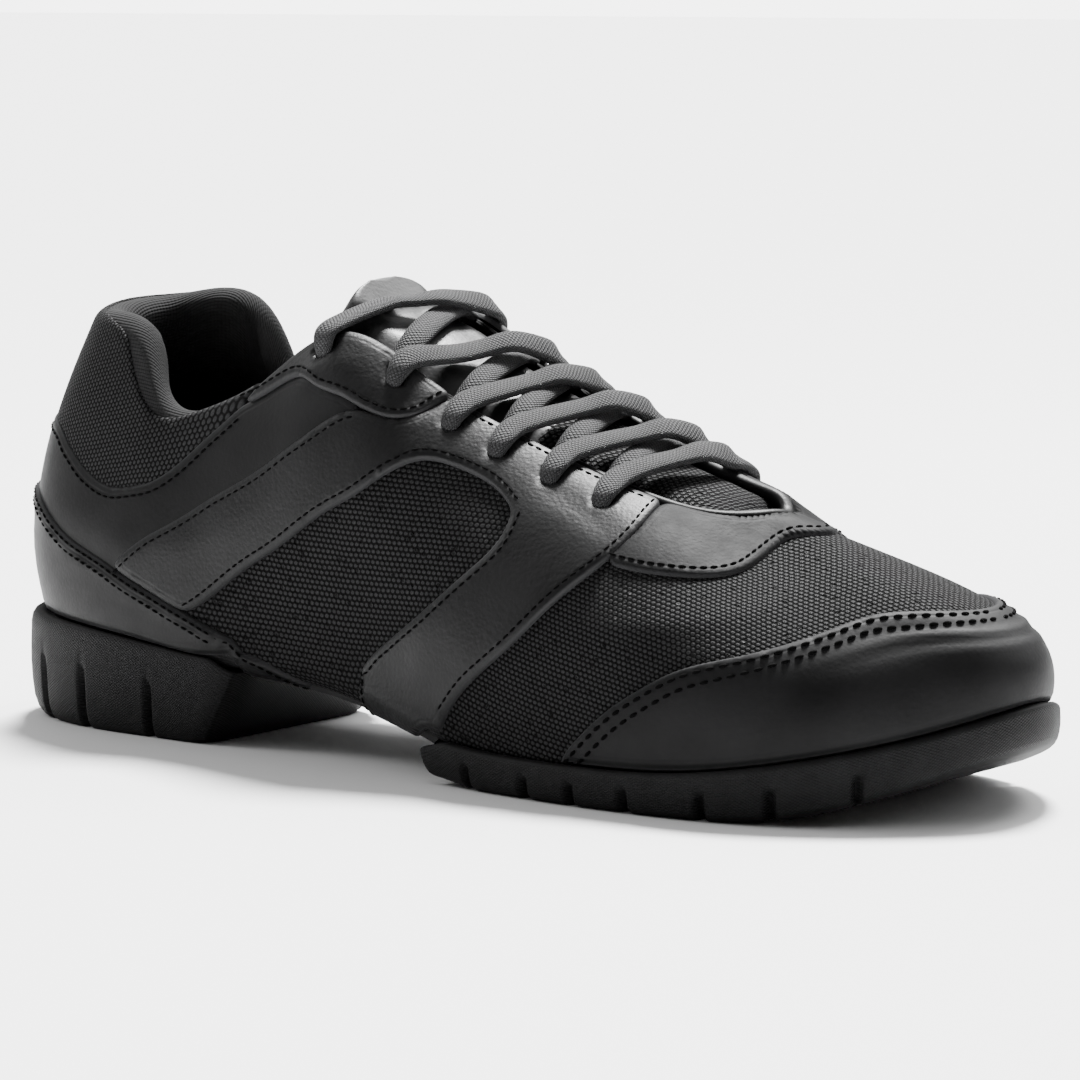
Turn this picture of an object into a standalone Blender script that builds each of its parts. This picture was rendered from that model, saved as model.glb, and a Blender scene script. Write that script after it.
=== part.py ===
"""Right dance sneaker with a split sole, standing empty on its heel and forefoot pads."""

import math

import bmesh
import bpy
import numpy as np
from mathutils.geometry import delaunay_2d_cdt

MM = 0.001

# Driving sizes of the shoe
SOLE_LENGTH = 290 * MM
BALL_WIDTH = 90 * MM
COLLAR_HEIGHT = 107 * MM
FEATHER_RADIUS = 8 * MM
WALL = 2.0 * MM
COLLAR_PAD = 10 * MM
MARGIN = 9 * MM
CLEARANCE = 0.4 * MM

# Sizes of the leather pieces laid on the upper
LEATHER = 1.2 * MM
SEAM_GAP = 0.35 * MM
EYELET_BORE = 5.0 * MM
LEATHER_STEP = 8.0 * MM
LEATHER_TURN = 16
LATTICE_MARGIN = 0.03
LEATHER_LIFT = 0.5 * MM

# Sizes of the two sole pads
LIP_HEIGHT = 2.4 * MM
LIP_FLARE = 3.6 * MM
HEEL_FLARE = 2.6 * MM
FOREFOOT_REAR = 150 * MM
HEEL_FRONT = 88 * MM
HEEL_FRONT_LEAN = 10 * MM
HEEL_REST = 44 * MM
PAD_CORNER = 6.5 * MM
NOTCH_WIDTH = 3.2 * MM
NOTCH_HEIGHT = 6.5 * MM
NOTCH_DEPTH = 4.0 * MM

# Sizes of the inside pieces
INSOLE = 3.5 * MM
ARCH_SHEET = 1.6 * MM
TONGUE_PAD = 5.0 * MM
TONGUE_EDGE = 2.4 * MM
TONGUE_HALF = 22 * MM
TONGUE_LIFT = 10 * MM
TONGUE_CROWN = 3 * MM
TONGUE_CLEAR = 1.4 * MM

# Sizes of the laces
LACE_WIDTH = 7.0 * MM
LACE_THICK = 2.4 * MM
LACE_LIFT = 1.9 * MM
LACE_END = 0.04

# Ribs of the upper from the heel round to the toe. Columns: name, foot along, foot out, foot in,
# foot up, rim along, rim out, rim in, rim up out, rim up in, rim skew, rise, bulge, reach, drop,
# feather, pad. Along and skew are shares of SOLE_LENGTH, out and in of half BALL_WIDTH, heights
# and handles of COLLAR_HEIGHT, feather of FEATHER_RADIUS, pad of COLLAR_PAD over the wall.
RIBS = (
    ("heel_back", 0.024, 0.000, 0.000, 0.238, 0.088, 0.000, 0.000, 1.014, 1.014, 0.000,
     0.24, 0.07, 0.13, 0.24, 0.38, 1.0),
    ("heel_corner", 0.050, 0.467, 0.444, 0.234, 0.104, 0.315, 0.315, 0.992, 1.022, 0.007,
     0.24, 0.06, 0.095, 0.24, 0.38, 1.0),
    ("heel_side", 0.124, 0.689, 0.656, 0.220, 0.159, 0.419, 0.419, 0.953, 1.005, 0.021,
     0.22, 0.04, 0.05, 0.22, 0.38, 1.0),
    ("ankle_rear", 0.193, 0.733, 0.689, 0.201, 0.193, 0.500, 0.500, 0.800, 0.812, 0.021,
     0.19, 0.03, 0.06, 0.17, 0.38, 0.85),
    ("ankle", 0.262, 0.744, 0.667, 0.182, 0.248, 0.533, 0.533, 0.785, 0.775, 0.017,
     0.19, 0.02, 0.06, 0.15, 0.38, 0.55),
    ("ankle_front", 0.338, 0.756, 0.622, 0.168, 0.317, 0.522, 0.522, 0.875, 0.875, 0.014,
     0.21, 0.03, 0.08, 0.15, 0.88, 0.3),
    ("throat_top", 0.414, 0.800, 0.633, 0.140, 0.386, 0.444, 0.444, 0.967, 0.991, 0.010,
     0.22, 0.03, 0.13, 0.09, 1.00, 0.1),
    ("instep", 0.493, 0.878, 0.711, 0.098, 0.462, 0.367, 0.367, 0.860, 0.916, 0.007,
     0.22, 0.03, 0.19, 0.07, 0.75, 0.0),
    ("waist", 0.572, 0.967, 0.833, 0.070, 0.545, 0.344, 0.344, 0.762, 0.822, 0.007,
     0.22, 0.03, 0.21, 0.07, 0.38, 0.0),
    ("ball", 0.672, 1.033, 0.956, 0.065, 0.628, 0.322, 0.333, 0.678, 0.724, 0.007,
     0.22, 0.03, 0.21, 0.06, 0.38, 0.0),
    ("ball_front", 0.772, 1.022, 1.000, 0.075, 0.700, 0.267, 0.300, 0.621, 0.659, 0.007,
     0.23, 0.03, 0.22, 0.07, 0.38, 0.0),
    ("toe_side", 0.869, 0.844, 0.922, 0.117, 0.740, 0.144, 0.267, 0.607, 0.632, 0.003,
     0.225, 0.04, 0.205, 0.145, 0.38, 0.0),
    ("toe_corner", 0.948, 0.433, 0.656, 0.173, 0.755, 0.011, 0.200, 0.609, 0.604, 0.000,
     0.24, 0.03, 0.20, 0.125, 0.38, 0.0),
    ("toe_tip", 0.984, -0.111, 0.111, 0.215, 0.760, -0.089, 0.089, 0.608, 0.608, 0.000,
     0.165, 0.07, 0.40, 0.135, 0.38, 0.0),
)
TOE = len(RIBS) - 1
ROUND = 2 * TOE

# Seams on the outer side. Columns: place along the ribs, share of the height of the wall.
# A share under nought is on the turn below the foot line.
COUNTER_TOP = ((0.0, 0.43), (0.9, 0.41), (1.72, 0.29), (2.5, 0.255), (3.2, 0.22), (3.8, 0.16),
               (4.25, 0.09))
COLLAR_EDGE = ((0.0, 0.67), (1.0, 0.646), (1.4, 0.575), (1.8, 0.51), (2.25, 0.513),
               (2.88, 0.634), (3.6, 0.775), (4.1, 0.875), (4.6, 0.945))
WING_BACK = ((4.6, 0.945), (5.42, 0.87), (5.88, 0.755), (6.45, 0.73))
WING_FRONT = ((6.45, 0.73), (6.8, 0.76), (7.1, 0.84), (7.25, 0.965))
STRAP_TOP = ((2.5, 0.255), (3.2, 0.465), (4.0, 0.585), (4.5, 0.619), (5.25, 0.623),
             (5.85, 0.64), (6.45, 0.73))
WINDOW_TOP = ((3.8, 0.16), (4.62, 0.288), (5.41, 0.357), (6.35, 0.475), (7.0, 0.642),
              (7.27, 0.718), (7.61, 0.756), (8.1, 0.76), (8.42, 0.71))
WINDOW_FRONT = ((8.42, 0.71), (8.33, 0.593), (8.02, 0.478), (7.5, 0.334), (6.92, 0.195),
                (6.5, 0.08), (6.33, -0.05), (6.30, -0.7))
SADDLE_FRONT = ((9.78, 0.965), (9.7, 0.79), (9.44, 0.635), (9.0, 0.482), (8.5, 0.315),
                (7.98, 0.17), (7.6, 0.06))
SADDLE_FOOT = ((7.6, 0.06), (7.2, -0.25), (7.02, -0.7))
VAMP_TIP_EDGE = ((9.44, 0.635), (9.88, 0.642), (10.38, 0.68), (10.92, 0.741), (11.45, 0.813),
                 (12.32, 0.885), (13.0, 0.90))
CAP_EDGE = ((8.93, 0.04), (9.1, 0.075), (9.33, 0.143), (9.72, 0.235), (10.25, 0.33),
            (10.97, 0.395), (11.62, 0.415), (12.52, 0.45), (13.0, 0.455))
RIM_LINE = 0.965
FOOT_LINE = 0.04

# Rows of the faces up the wall, as shares of its height
WALL_ROWS = (-0.66, -0.33, 0.0, 0.17, 0.34, 0.5, 0.63, 0.74, 0.83, 0.91)

# Eyelets. Columns: place on the outer side, place on the inner side, share of the wall's height.
EYELETS = ((5.83, 6.40, 0.91), (6.72, 7.36, 0.90), (7.45, 7.92, 0.89), (8.02, 8.55, 0.88),
           (8.62, 9.20, 0.88), (9.22, 9.62, 0.87))

# Sole pads. Columns: name, flare as a share of the pad's flare, height as a share of its side.
PAD_SIDE = (("tread", 0.30, 0.0), ("edge", 0.78, 0.14), ("side", 1.0, 0.55), ("lip", 0.95, 0.88),
            ("lip_top", 0.62, 1.0))
# Undersides of the pads. Columns: place along SOLE_LENGTH, height as a share of COLLAR_HEIGHT.
UNDERSIDE = ((0.0, 0.062), (0.014, 0.026), (0.034, 0.006), (0.052, 0.0), (0.26, 0.0),
             (0.5, 0.022), (0.53, 0.012), (0.575, 0.0), (0.82, 0.0), (0.87, 0.016),
             (0.914, 0.05), (0.958, 0.1), (1.0, 0.152))
# Notches in the sides. Columns: place along the ribs.
FOREFOOT_NOTCHES = (8.02, 8.52, 9.06, 9.50, 10.24, 10.97, 11.93)
HEEL_NOTCHES = (0.7, 1.42, 2.45)

# Places at the rear, middle and front of the waist between the two pads
WAIST = (3.0, 6.0, 9.0)

# Shares of the wall that the tongue's sides follow, and where the throat's front begins
TONGUE_SHARES = (0.78, 0.87, 0.95)
TONGUE_FRONT = 10.2
# Tongue. Columns: name, place along the ribs, share of TONGUE_LIFT past the rim, share of
# TONGUE_HALF, sink under the line between the rims as a share of TONGUE_PAD.
TONGUE_ROWS = (
    ("tip", 6.0, 1.15, 0.52, -0.3), ("tip_side", 6.0, 1.02, 0.74, -0.3),
    ("tab", 6.0, 0.8, 0.78, -0.3), ("neck", 6.0, 0.45, 0.70, -0.3),
    ("ankle", 6.0, 0.0, 1.0, -0.25),
    ("lace_1", 6.6, 0.0, 1.0, -0.2), ("lace_2", 7.3, 0.0, 1.0, -0.2),
    ("lace_3", 8.0, 0.0, 1.0, -0.15), ("lace_4", 8.6, 0.0, 0.98, -0.1),
    ("lace_5", 9.3, 0.0, 0.94, 0.0), ("lace_6", 10.0, 0.0, 0.88, 0.25),
    ("throat", 10.7, 0.0, 0.80, 1.0), ("vamp", 11.6, 0.0, 0.70, 1.5),
    ("end", 12.7, 0.0, 0.60, 1.9),
)


def clear_scene():
    """Empty the file."""
    for item in list(bpy.data.objects):
        bpy.data.objects.remove(item, do_unlink=True)


def make_collection(name):
    """Return a collection linked to the scene."""
    group = bpy.data.collections.new(name)
    bpy.context.scene.collection.children.link(group)
    return group


def make_material(name, colour, roughness):
    """Return a plain Principled material."""
    material = bpy.data.materials.new(name)
    material.use_nodes = True
    shader = material.node_tree.nodes["Principled BSDF"]
    shader.inputs["Base Color"].default_value = (*colour, 1.0)
    shader.inputs["Roughness"].default_value = roughness
    shader.inputs["Metallic"].default_value = 0.0
    material.diffuse_color = (*colour, 1.0)
    return material


def rib_rows():
    """Return the rows of the ring of ribs in metres, outer side first, then the inner side."""
    half = BALL_WIDTH / 2
    outer_rows = []
    inner_rows = []
    for row in RIBS:
        (_, along, out, inside, up, rim, rim_out, rim_in, up_out, up_in, skew,
         rise, bulge, reach, drop, feather, pad) = row
        handles = [share * COLLAR_HEIGHT for share in (rise, bulge, reach, drop)]
        ending = handles + [feather * FEATHER_RADIUS, pad]
        x = along * SOLE_LENGTH - HEEL_REST
        rim_x = rim * SOLE_LENGTH - HEEL_REST
        outer_rows.append([x, -out * half, up * COLLAR_HEIGHT, rim_x, -rim_out * half,
                           up_out * COLLAR_HEIGHT] + ending)
        inner_rows.append([x, inside * half, up * COLLAR_HEIGHT, rim_x + skew * SOLE_LENGTH,
                           rim_in * half, up_in * COLLAR_HEIGHT] + ending)
    return np.array(outer_rows + inner_rows[-2:0:-1])


def ring_slopes(rows):
    """Return the slopes of a closed cubic spline through the rows."""
    count = len(rows)
    matrix = 4 * np.eye(count) + np.roll(np.eye(count), 1, 0) + np.roll(np.eye(count), -1, 0)
    return np.linalg.solve(matrix, 3 * (np.roll(rows, -1, 0) - np.roll(rows, 1, 0)))


ROWS = rib_rows()
SLOPES = ring_slopes(ROWS)
UP = np.array((0.0, 0.0, 1.0))
FOOT_STEPS = [step / 8 for step in range(8 * TOE + 1)]


def rib_at(place):
    """Return the values of the rib at a place, which may be negative on the inner side."""
    place = place % ROUND
    low = int(math.floor(place)) % ROUND
    high = (low + 1) % ROUND
    part = place - math.floor(place)
    return (ROWS[low] * (2 * part**3 - 3 * part**2 + 1) + SLOPES[low] * (part**3 - 2 * part**2 + part)
            + ROWS[high] * (3 * part**2 - 2 * part**3) + SLOPES[high] * (part**3 - part**2))


FOOT_ALONG = [rib_at(step)[0] for step in FOOT_STEPS]
FOOT_HEIGHT = [rib_at(step)[2] for step in FOOT_STEPS]


def ground(x):
    """Return the height of the underside of the upper at a place along the shoe."""
    return float(np.interp(x, FOOT_ALONG, FOOT_HEIGHT))


def outward(place):
    """Return the level direction out of the shoe at the foot line."""
    step = rib_at(place + 0.001)[:2] - rib_at(place - 0.001)[:2]
    step = step / np.linalg.norm(step)
    return np.array((step[1], -step[0], 0.0))


def smooth_step(value):
    """Ease a value between nought and one."""
    value = min(max(value, 0.0), 1.0)
    return value * value * (3 - 2 * value)


def pad_thickness(place, share):
    """Return the thickness of the wall, padded towards the collar."""
    pad = min(max(rib_at(place)[11], 0.0), 1.0)
    return WALL + (COLLAR_PAD - WALL) * pad * smooth_step((share - 0.45) / 0.45)


def skin(place, share):
    """Return the point on the outside of the upper."""
    rib = rib_at(place)
    out = outward(place)
    feather = rib[10]
    foot = rib[0:3] + UP * feather
    if share < 0:
        turn = min(-share, 1.0) * math.pi / 2
        inset = feather * (1 - math.cos(turn)) + max(-share - 1, 0.0) * MARGIN
        point = foot - out * inset - UP * feather * math.sin(turn)
        point[2] += ground(point[0]) - ground(rib[0])
        return point
    half = pad_thickness(place, 1.0) / 2
    rim = rib[3:6] + out * (half - WALL / 2) - UP * half
    low = foot + out * rib[7] + UP * rib[6]
    high = rim + out * rib[8] - UP * rib[9]
    rest = 1 - share
    return (rest**3 * foot + 3 * rest**2 * share * low + 3 * rest * share**2 * high
            + share**3 * rim)


def skin_frame(place, share):
    """Return the steps along and up the skin and the direction out of it."""
    step = 0.002
    share = min(share, 1 - step)
    along = (skin(place + step, share) - skin(place - step, share)) / (2 * step)
    rise = (skin(place, share + step) - skin(place, share - step)) / (2 * step)
    normal = np.cross(along, rise)
    return along, rise, normal / np.linalg.norm(normal)


def over_skin(place, share, lift):
    """Return a point a distance above the skin, or inside it for a negative lift."""
    return skin(place, share) + skin_frame(place, share)[2] * lift


def new_object(name, mesh, material, group):
    """Link a mesh as a named object."""
    item = bpy.data.objects.new(name, mesh)
    group.objects.link(item)
    if material is not None:
        mesh.materials.append(material)
    return item


def finish_mesh(bm, name, material, group):
    """Turn a bmesh into an object with its faces outwards."""
    bmesh.ops.triangulate(bm, faces=bm.faces[:])
    bmesh.ops.recalc_face_normals(bm, faces=bm.faces[:])
    mesh = bpy.data.meshes.new(name)
    bm.to_mesh(mesh)
    bm.free()
    return new_object(name, mesh, material, group)


def loft(name, loops, material, group, closed=False):
    """Join loops of points, with end caps unless the loft closes on itself."""
    bm = bmesh.new()
    rings = [[bm.verts.new(point) for point in loop] for loop in loops]
    pairs = list(zip(rings, rings[1:]))
    if closed:
        pairs.append((rings[-1], rings[0]))
    else:
        bm.faces.new(rings[0])
        bm.faces.new(rings[-1])
    for first, second in pairs:
        for index in range(len(first)):
            after = (index + 1) % len(first)
            bm.faces.new((first[index], first[after], second[after], second[index]))
    return finish_mesh(bm, name, material, group)


def ring_places():
    """Return the places of the upper's columns, closer at the heel and the toe."""
    places = []
    for rib in range(TOE):
        steps = 4 if rib < 2 or rib > TOE - 3 else 3
        places += [rib + step / steps for step in range(steps)]
    return places + [float(TOE)] + [-place for place in places[:0:-1]]


def upper_section(place):
    """Return the closed section of the upper's wall at a place."""
    points = [skin(place, share) for share in (-2.0, -1.0, *WALL_ROWS, 1.0)]
    _, rise, normal = skin_frame(place, 1.0)
    rise = rise / np.linalg.norm(rise)
    thickness = pad_thickness(place, 1.0)
    middle = points[-1] - normal * thickness / 2
    for turn in (45, 90, 135):
        angle = math.radians(turn)
        points.append(middle + (normal * math.cos(angle) + rise * math.sin(angle)) * thickness / 2)
    for share in (1.0, 0.86, 0.7, 0.5, 0.28, 0.08):
        points.append(over_skin(place, share, -pad_thickness(place, share)))
    for share in (-0.45, -1.0, -2.0):
        points.append(over_skin(place, share, -WALL))
    return points


def eyelet_cutters(group):
    """Return the drills of the eyelets, through leather and wall."""
    drills = bmesh.new()
    for outer_place, inner_place, share in EYELETS:
        for place in (outer_place, -inner_place):
            normal = skin_frame(place, share)[2]
            centre = over_skin(place, share, -WALL)
            first = np.cross(normal, UP)
            first = first / np.linalg.norm(first)
            second = np.cross(normal, first)
            rings = []
            for lift in (-2 * WALL, 3 * WALL + LEATHER):
                rings.append([drills.verts.new(
                    centre + normal * lift + EYELET_BORE / 2
                    * (first * math.cos(step * math.pi / 4) + second * math.sin(step * math.pi / 4)))
                    for step in range(8)])
            drills.faces.new(rings[0])
            drills.faces.new(rings[1])
            for index in range(8):
                after = (index + 1) % 8
                drills.faces.new((rings[0][index], rings[0][after], rings[1][after], rings[1][index]))
    cutter = finish_mesh(drills, "eyelet_drills", None, group)
    hide_cutter(cutter)
    return cutter


def hide_cutter(cutter):
    """Show a cutter as wire only."""
    cutter.hide_render = True
    cutter.display_type = "WIRE"


def cut(item, cutter):
    """Take a cutter's shape out of an object."""
    modifier = item.modifiers.new(cutter.name, "BOOLEAN")
    modifier.operation = "DIFFERENCE"
    modifier.solver = "EXACT"
    modifier.object = cutter


def line_steps(start, end):
    """Return how many steps a line on the skin needs for its length and its bend."""
    length = np.linalg.norm(skin(*end) - skin(*start))
    bend = math.acos(min(1.0, float(np.dot(skin_frame(*start)[2], skin_frame(*end)[2]))))
    return max(1, round(length / LEATHER_STEP), round(math.degrees(bend) / LEATHER_TURN))


def smooth_line(points):
    """Return a smooth line through the rows of a seam."""
    rows = np.array(points)
    ends = np.vstack((2 * rows[0] - rows[1], rows, 2 * rows[-1] - rows[-2]))
    line = []
    for index in range(1, len(rows)):
        a, b, c, d = ends[index - 1:index + 3]
        steps = line_steps(b, c)
        for step in range(steps):
            t = step / steps
            line.append(0.5 * (2 * b + (c - a) * t + (2 * a - 5 * b + 4 * c - d) * t**2
                               + (3 * b - a - 3 * c + d) * t**3))
    line.append(rows[-1])
    return [tuple(point) for point in line]


def mirrored(line):
    """Return a seam on the inner side."""
    return [(-place, share) for place, share in line]


def chain(*lines):
    """Join lines end to end into one closed outline."""
    outline = []
    for line in lines:
        for point in line:
            if not outline or math.dist(outline[-1], point) > 1e-4:
                outline.append(point)
    if math.dist(outline[0], outline[-1]) < 1e-4:
        outline.pop()
    return outline


def level_line(first, last, share):
    """Return a line at one share between two places."""
    columns = ring_places()
    columns += [column + ROUND for column in columns if column < 0]
    low, high = sorted((first, last))
    inner = sorted(column for column in columns if low + 0.1 < column < high - 0.1)
    if first > last:
        inner.reverse()
    return [(place, share) for place in [first, *inner, last]]


def drawn_in(outline):
    """Move an outline inwards along the skin by the seam gap."""
    sheet = np.array(outline)
    following = np.roll(sheet, -1, 0)
    area = np.sum(sheet[:, 0] * following[:, 1] - following[:, 0] * sheet[:, 1])
    turn = 1 if area > 0 else -1
    moved = []
    for index, (place, share) in enumerate(outline):
        before = skin(*outline[index - 1])
        here = skin(place, share)
        after = skin(*outline[(index + 1) % len(outline)])
        along, rise, normal = skin_frame(place, share)
        first = np.cross(normal, here - before)
        second = np.cross(normal, after - here)
        first = first / np.linalg.norm(first)
        second = second / np.linalg.norm(second)
        inwards = (first + second) * turn
        inwards = inwards / max(np.linalg.norm(inwards), 0.5)
        inwards = inwards * SEAM_GAP
        grid = np.column_stack((along, rise))
        shift = np.linalg.lstsq(grid, inwards, rcond=None)[0]
        moved.append((place + shift[0], share + shift[1]))
    return moved


def inside(point, outline):
    """Say whether a point is well inside an outline."""
    x, y = point
    odd = False
    nearest = 1.0
    for index, (x2, y2) in enumerate(outline):
        x1, y1 = outline[index - 1]
        if (y1 > y) != (y2 > y) and x < (x2 - x1) * (y - y1) / (y2 - y1) + x1:
            odd = not odd
        edge = np.array((x2 - x1, y2 - y1))
        part = np.dot((x - x1, y - y1), edge) / max(np.dot(edge, edge), 1e-12)
        part = min(max(part, 0.0), 1.0)
        nearest = min(nearest, math.hypot(x - x1 - part * edge[0], y - y1 - part * edge[1]))
    return odd and nearest > LATTICE_MARGIN


def leather_piece(name, outline, material, group):
    """Lay a leather piece on the skin inside a closed outline of places and shares."""
    stretch = 0.3
    rim = [(place * stretch, share) for place, share in drawn_in(outline)]
    points = list(rim)
    columns = ring_places()
    for column in columns + [column + ROUND for column in columns if column < 0]:
        for share in WALL_ROWS:
            if inside((column * stretch, share), rim):
                points.append((column * stretch, share))
    edges = [(index, (index + 1) % len(rim)) for index in range(len(rim))]
    verts, _, faces, _, _, _ = delaunay_2d_cdt([tuple(point) for point in points], edges, [], 1, 1e-6)
    bm = bmesh.new()
    lower = [bm.verts.new(over_skin(vert[0] / stretch, vert[1], LEATHER_LIFT)) for vert in verts]
    upper = [bm.verts.new(over_skin(vert[0] / stretch, vert[1], LEATHER_LIFT + LEATHER))
             for vert in verts]
    borders = {}
    for face in faces:
        bm.faces.new([lower[index] for index in reversed(face)])
        bm.faces.new([upper[index] for index in face])
        for index, corner in enumerate(face):
            after = face[(index + 1) % len(face)]
            if (after, corner) in borders:
                del borders[(after, corner)]
            else:
                borders[(corner, after)] = True
    for corner, after in borders:
        bm.faces.new((lower[corner], lower[after], upper[after], upper[corner]))
    return finish_mesh(bm, name, material, group)


def leather_outlines():
    """Return the closed outlines of the leather pieces by name."""
    counter = smooth_line(COUNTER_TOP)
    collar = smooth_line(COLLAR_EDGE)
    wing_back = smooth_line(WING_BACK)
    wing_front = smooth_line(WING_FRONT)
    strap = smooth_line(STRAP_TOP)
    window = smooth_line(WINDOW_TOP)
    window_front = smooth_line(WINDOW_FRONT)
    saddle = smooth_line(SADDLE_FRONT)
    saddle_foot = smooth_line(SADDLE_FOOT)
    tip_edge = smooth_line(VAMP_TIP_EDGE)
    cap = smooth_line(CAP_EDGE)
    split = next(i for i, point in enumerate(counter) if math.dist(point, COUNTER_TOP[3]) < 1e-6)
    strap_end = next(i for i, point in enumerate(counter) if math.dist(point, COUNTER_TOP[5]) < 1e-6)
    join = next(i for i, point in enumerate(saddle) if math.dist(point, SADDLE_FRONT[2]) < 1e-6)
    rear_side = counter[:split + 1] + strap + wing_back[::-1] + collar[::-1]
    around = 2 * TOE
    far_cap = [(around - place, share) for place, share in cap]
    far_tip = [(around - place, share) for place, share in tip_edge]
    far_saddle = [(around - place, share) for place, share in saddle[:join + 1]]
    return {
        "heel_counter": chain(counter, level_line(COUNTER_TOP[-1][0], -COUNTER_TOP[-1][0], FOOT_LINE),
                              mirrored(counter)[::-1]),
        "rear_quarter": chain(rear_side, mirrored(rear_side)[::-1]),
        "eyestay_outer": chain(strap, wing_front, level_line(WING_FRONT[-1][0], SADDLE_FRONT[0][0],
                               RIM_LINE), saddle, saddle_foot, window_front[::-1], window[::-1],
                               counter[split:strap_end + 1][::-1]),
        "wing_outer": chain(wing_back, wing_front,
                            level_line(WING_FRONT[-1][0], WING_BACK[0][0] + 0.5, RIM_LINE)),
        "vamp_tip": chain(saddle[:join + 1], tip_edge, far_tip[::-1], far_saddle[::-1],
                          level_line(around - SADDLE_FRONT[0][0], SADDLE_FRONT[0][0], RIM_LINE)),
        "toe_cap": chain(cap, far_cap[::-1],
                         level_line(around - CAP_EDGE[0][0], CAP_EDGE[0][0], FOOT_LINE)),
    }


def underside(x):
    """Return the height of the underside of the pads at a place along the shoe."""
    places = [row[0] * SOLE_LENGTH for row in UNDERSIDE]
    heights = [row[1] * COLLAR_HEIGHT for row in UNDERSIDE]
    return float(np.interp(x + HEEL_REST, places, heights))


def corner_inset(distance):
    """Return how far a round corner draws in at a distance from the straight end."""
    rest = max(PAD_CORNER - distance, 0.0)
    return PAD_CORNER - math.sqrt(PAD_CORNER**2 - rest**2)


def place_at(x, low, high):
    """Return the place on the outer side where the foot line reaches x."""
    for _ in range(40):
        middle = (low + high) / 2
        if rib_at(middle)[0] < x:
            low = middle
        else:
            high = middle
    return (low + high) / 2


def pad_points(places, end_x, end_sign, flare, height, lean):
    """Return the points round a pad at one level, outer side then inner side."""
    sides = []
    for side in (1, -1):
        points = []
        for place in places:
            rib = rib_at(side * place)
            out = outward(side * place)
            backwards = 1 + 1.2 * max(-out[0], 0.0)
            point = rib[0:3] + out * flare * backwards
            distance = abs(rib[0] - end_x)
            point[0] -= out[0] * flare * backwards * smooth_step(1 - distance / PAD_CORNER)
            point[1] -= math.copysign(corner_inset(distance), -side) if distance < PAD_CORNER else 0.0
            point[0] += end_sign * lean * smooth_step(1 - distance / (4 * PAD_CORNER))
            point[2] = height(rib[0], rib[2])
            points.append(point)
        sides.append(points)
    return sides


def sole_pad(name, places, end_x, end_sign, flare, lean, material, group):
    """Build a rubber pad with a flared side, a lip round the upper and a deck under it."""
    def lip_height(x, foot):
        ramp = smooth_step((abs(x - end_x) - PAD_CORNER) / (1.5 * PAD_CORNER))
        return foot - CLEARANCE / 2 + (LIP_HEIGHT + CLEARANCE / 2) * ramp

    levels = []
    for _, out, up in PAD_SIDE:
        def side_height(x, foot, up=up):
            low = underside(x)
            return low + (lip_height(x, foot) - low) * up
        levels.append(pad_points(places, end_x, end_sign, out * flare, side_height, lean * (1 - up)))

    def deck_height(x, foot):
        return foot - CLEARANCE

    levels.append(pad_points(places, end_x, end_sign, CLEARANCE, lip_height, 0.0))
    levels.append(pad_points(places, end_x, end_sign, CLEARANCE, deck_height, 0.0))
    bm = bmesh.new()
    rings = []
    for outer_side, inner_side in levels:
        first = [bm.verts.new(point) for point in outer_side]
        second = [bm.verts.new(point) for point in inner_side]
        tip = 0 if end_sign > 0 else len(places) - 1
        bm.verts.remove(second[tip])
        second[tip] = first[tip]
        rings.append((first, second))
    open_end = len(places) - 1 if end_sign > 0 else 0
    for (low_out, low_in), (high_out, high_in) in zip(rings, rings[1:]):
        for low, high in ((low_out, high_out), (low_in, high_in)):
            for index in range(len(places) - 1):
                bm.faces.new((low[index], low[index + 1], high[index + 1], high[index]))
    outer_edge = [first[open_end] for first, _ in rings]
    inner_edge = [second[open_end] for _, second in rings]
    bm.faces.new(outer_edge + inner_edge[::-1])
    for first, second in (rings[0], rings[-1]):
        for index in range(len(places) - 1):
            corners = [first[index], first[index + 1], second[index + 1], second[index]]
            bm.faces.new(list(dict.fromkeys(corners)))
    return finish_mesh(bm, name, material, group)


def notch_cutters(name, places, flare, group):
    """Return wedges for the notches in the side of a pad."""
    bm = bmesh.new()
    for place in places:
        for side in (1, -1):
            rib = rib_at(side * place)
            out = outward(side * place)
            backwards = 1 + 1.2 * max(-out[0], 0.0)
            along = np.cross(UP, out)
            base = rib[0:3] + out * (flare * backwards - NOTCH_DEPTH)
            base[2] = underside(rib[0]) - MM
            depth = out * 3 * NOTCH_DEPTH
            corners = (along * NOTCH_WIDTH / 2, -along * NOTCH_WIDTH / 2,
                       UP * (NOTCH_HEIGHT + MM))
            near = [bm.verts.new(base + corner) for corner in corners]
            far = [bm.verts.new(base + corner + depth) for corner in corners]
            bm.faces.new(near)
            bm.faces.new(far)
            for index in range(3):
                after = (index + 1) % 3
                bm.faces.new((near[index], near[after], far[after], far[index]))
    cutter = finish_mesh(bm, name, None, group)
    hide_cutter(cutter)
    return cutter


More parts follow.
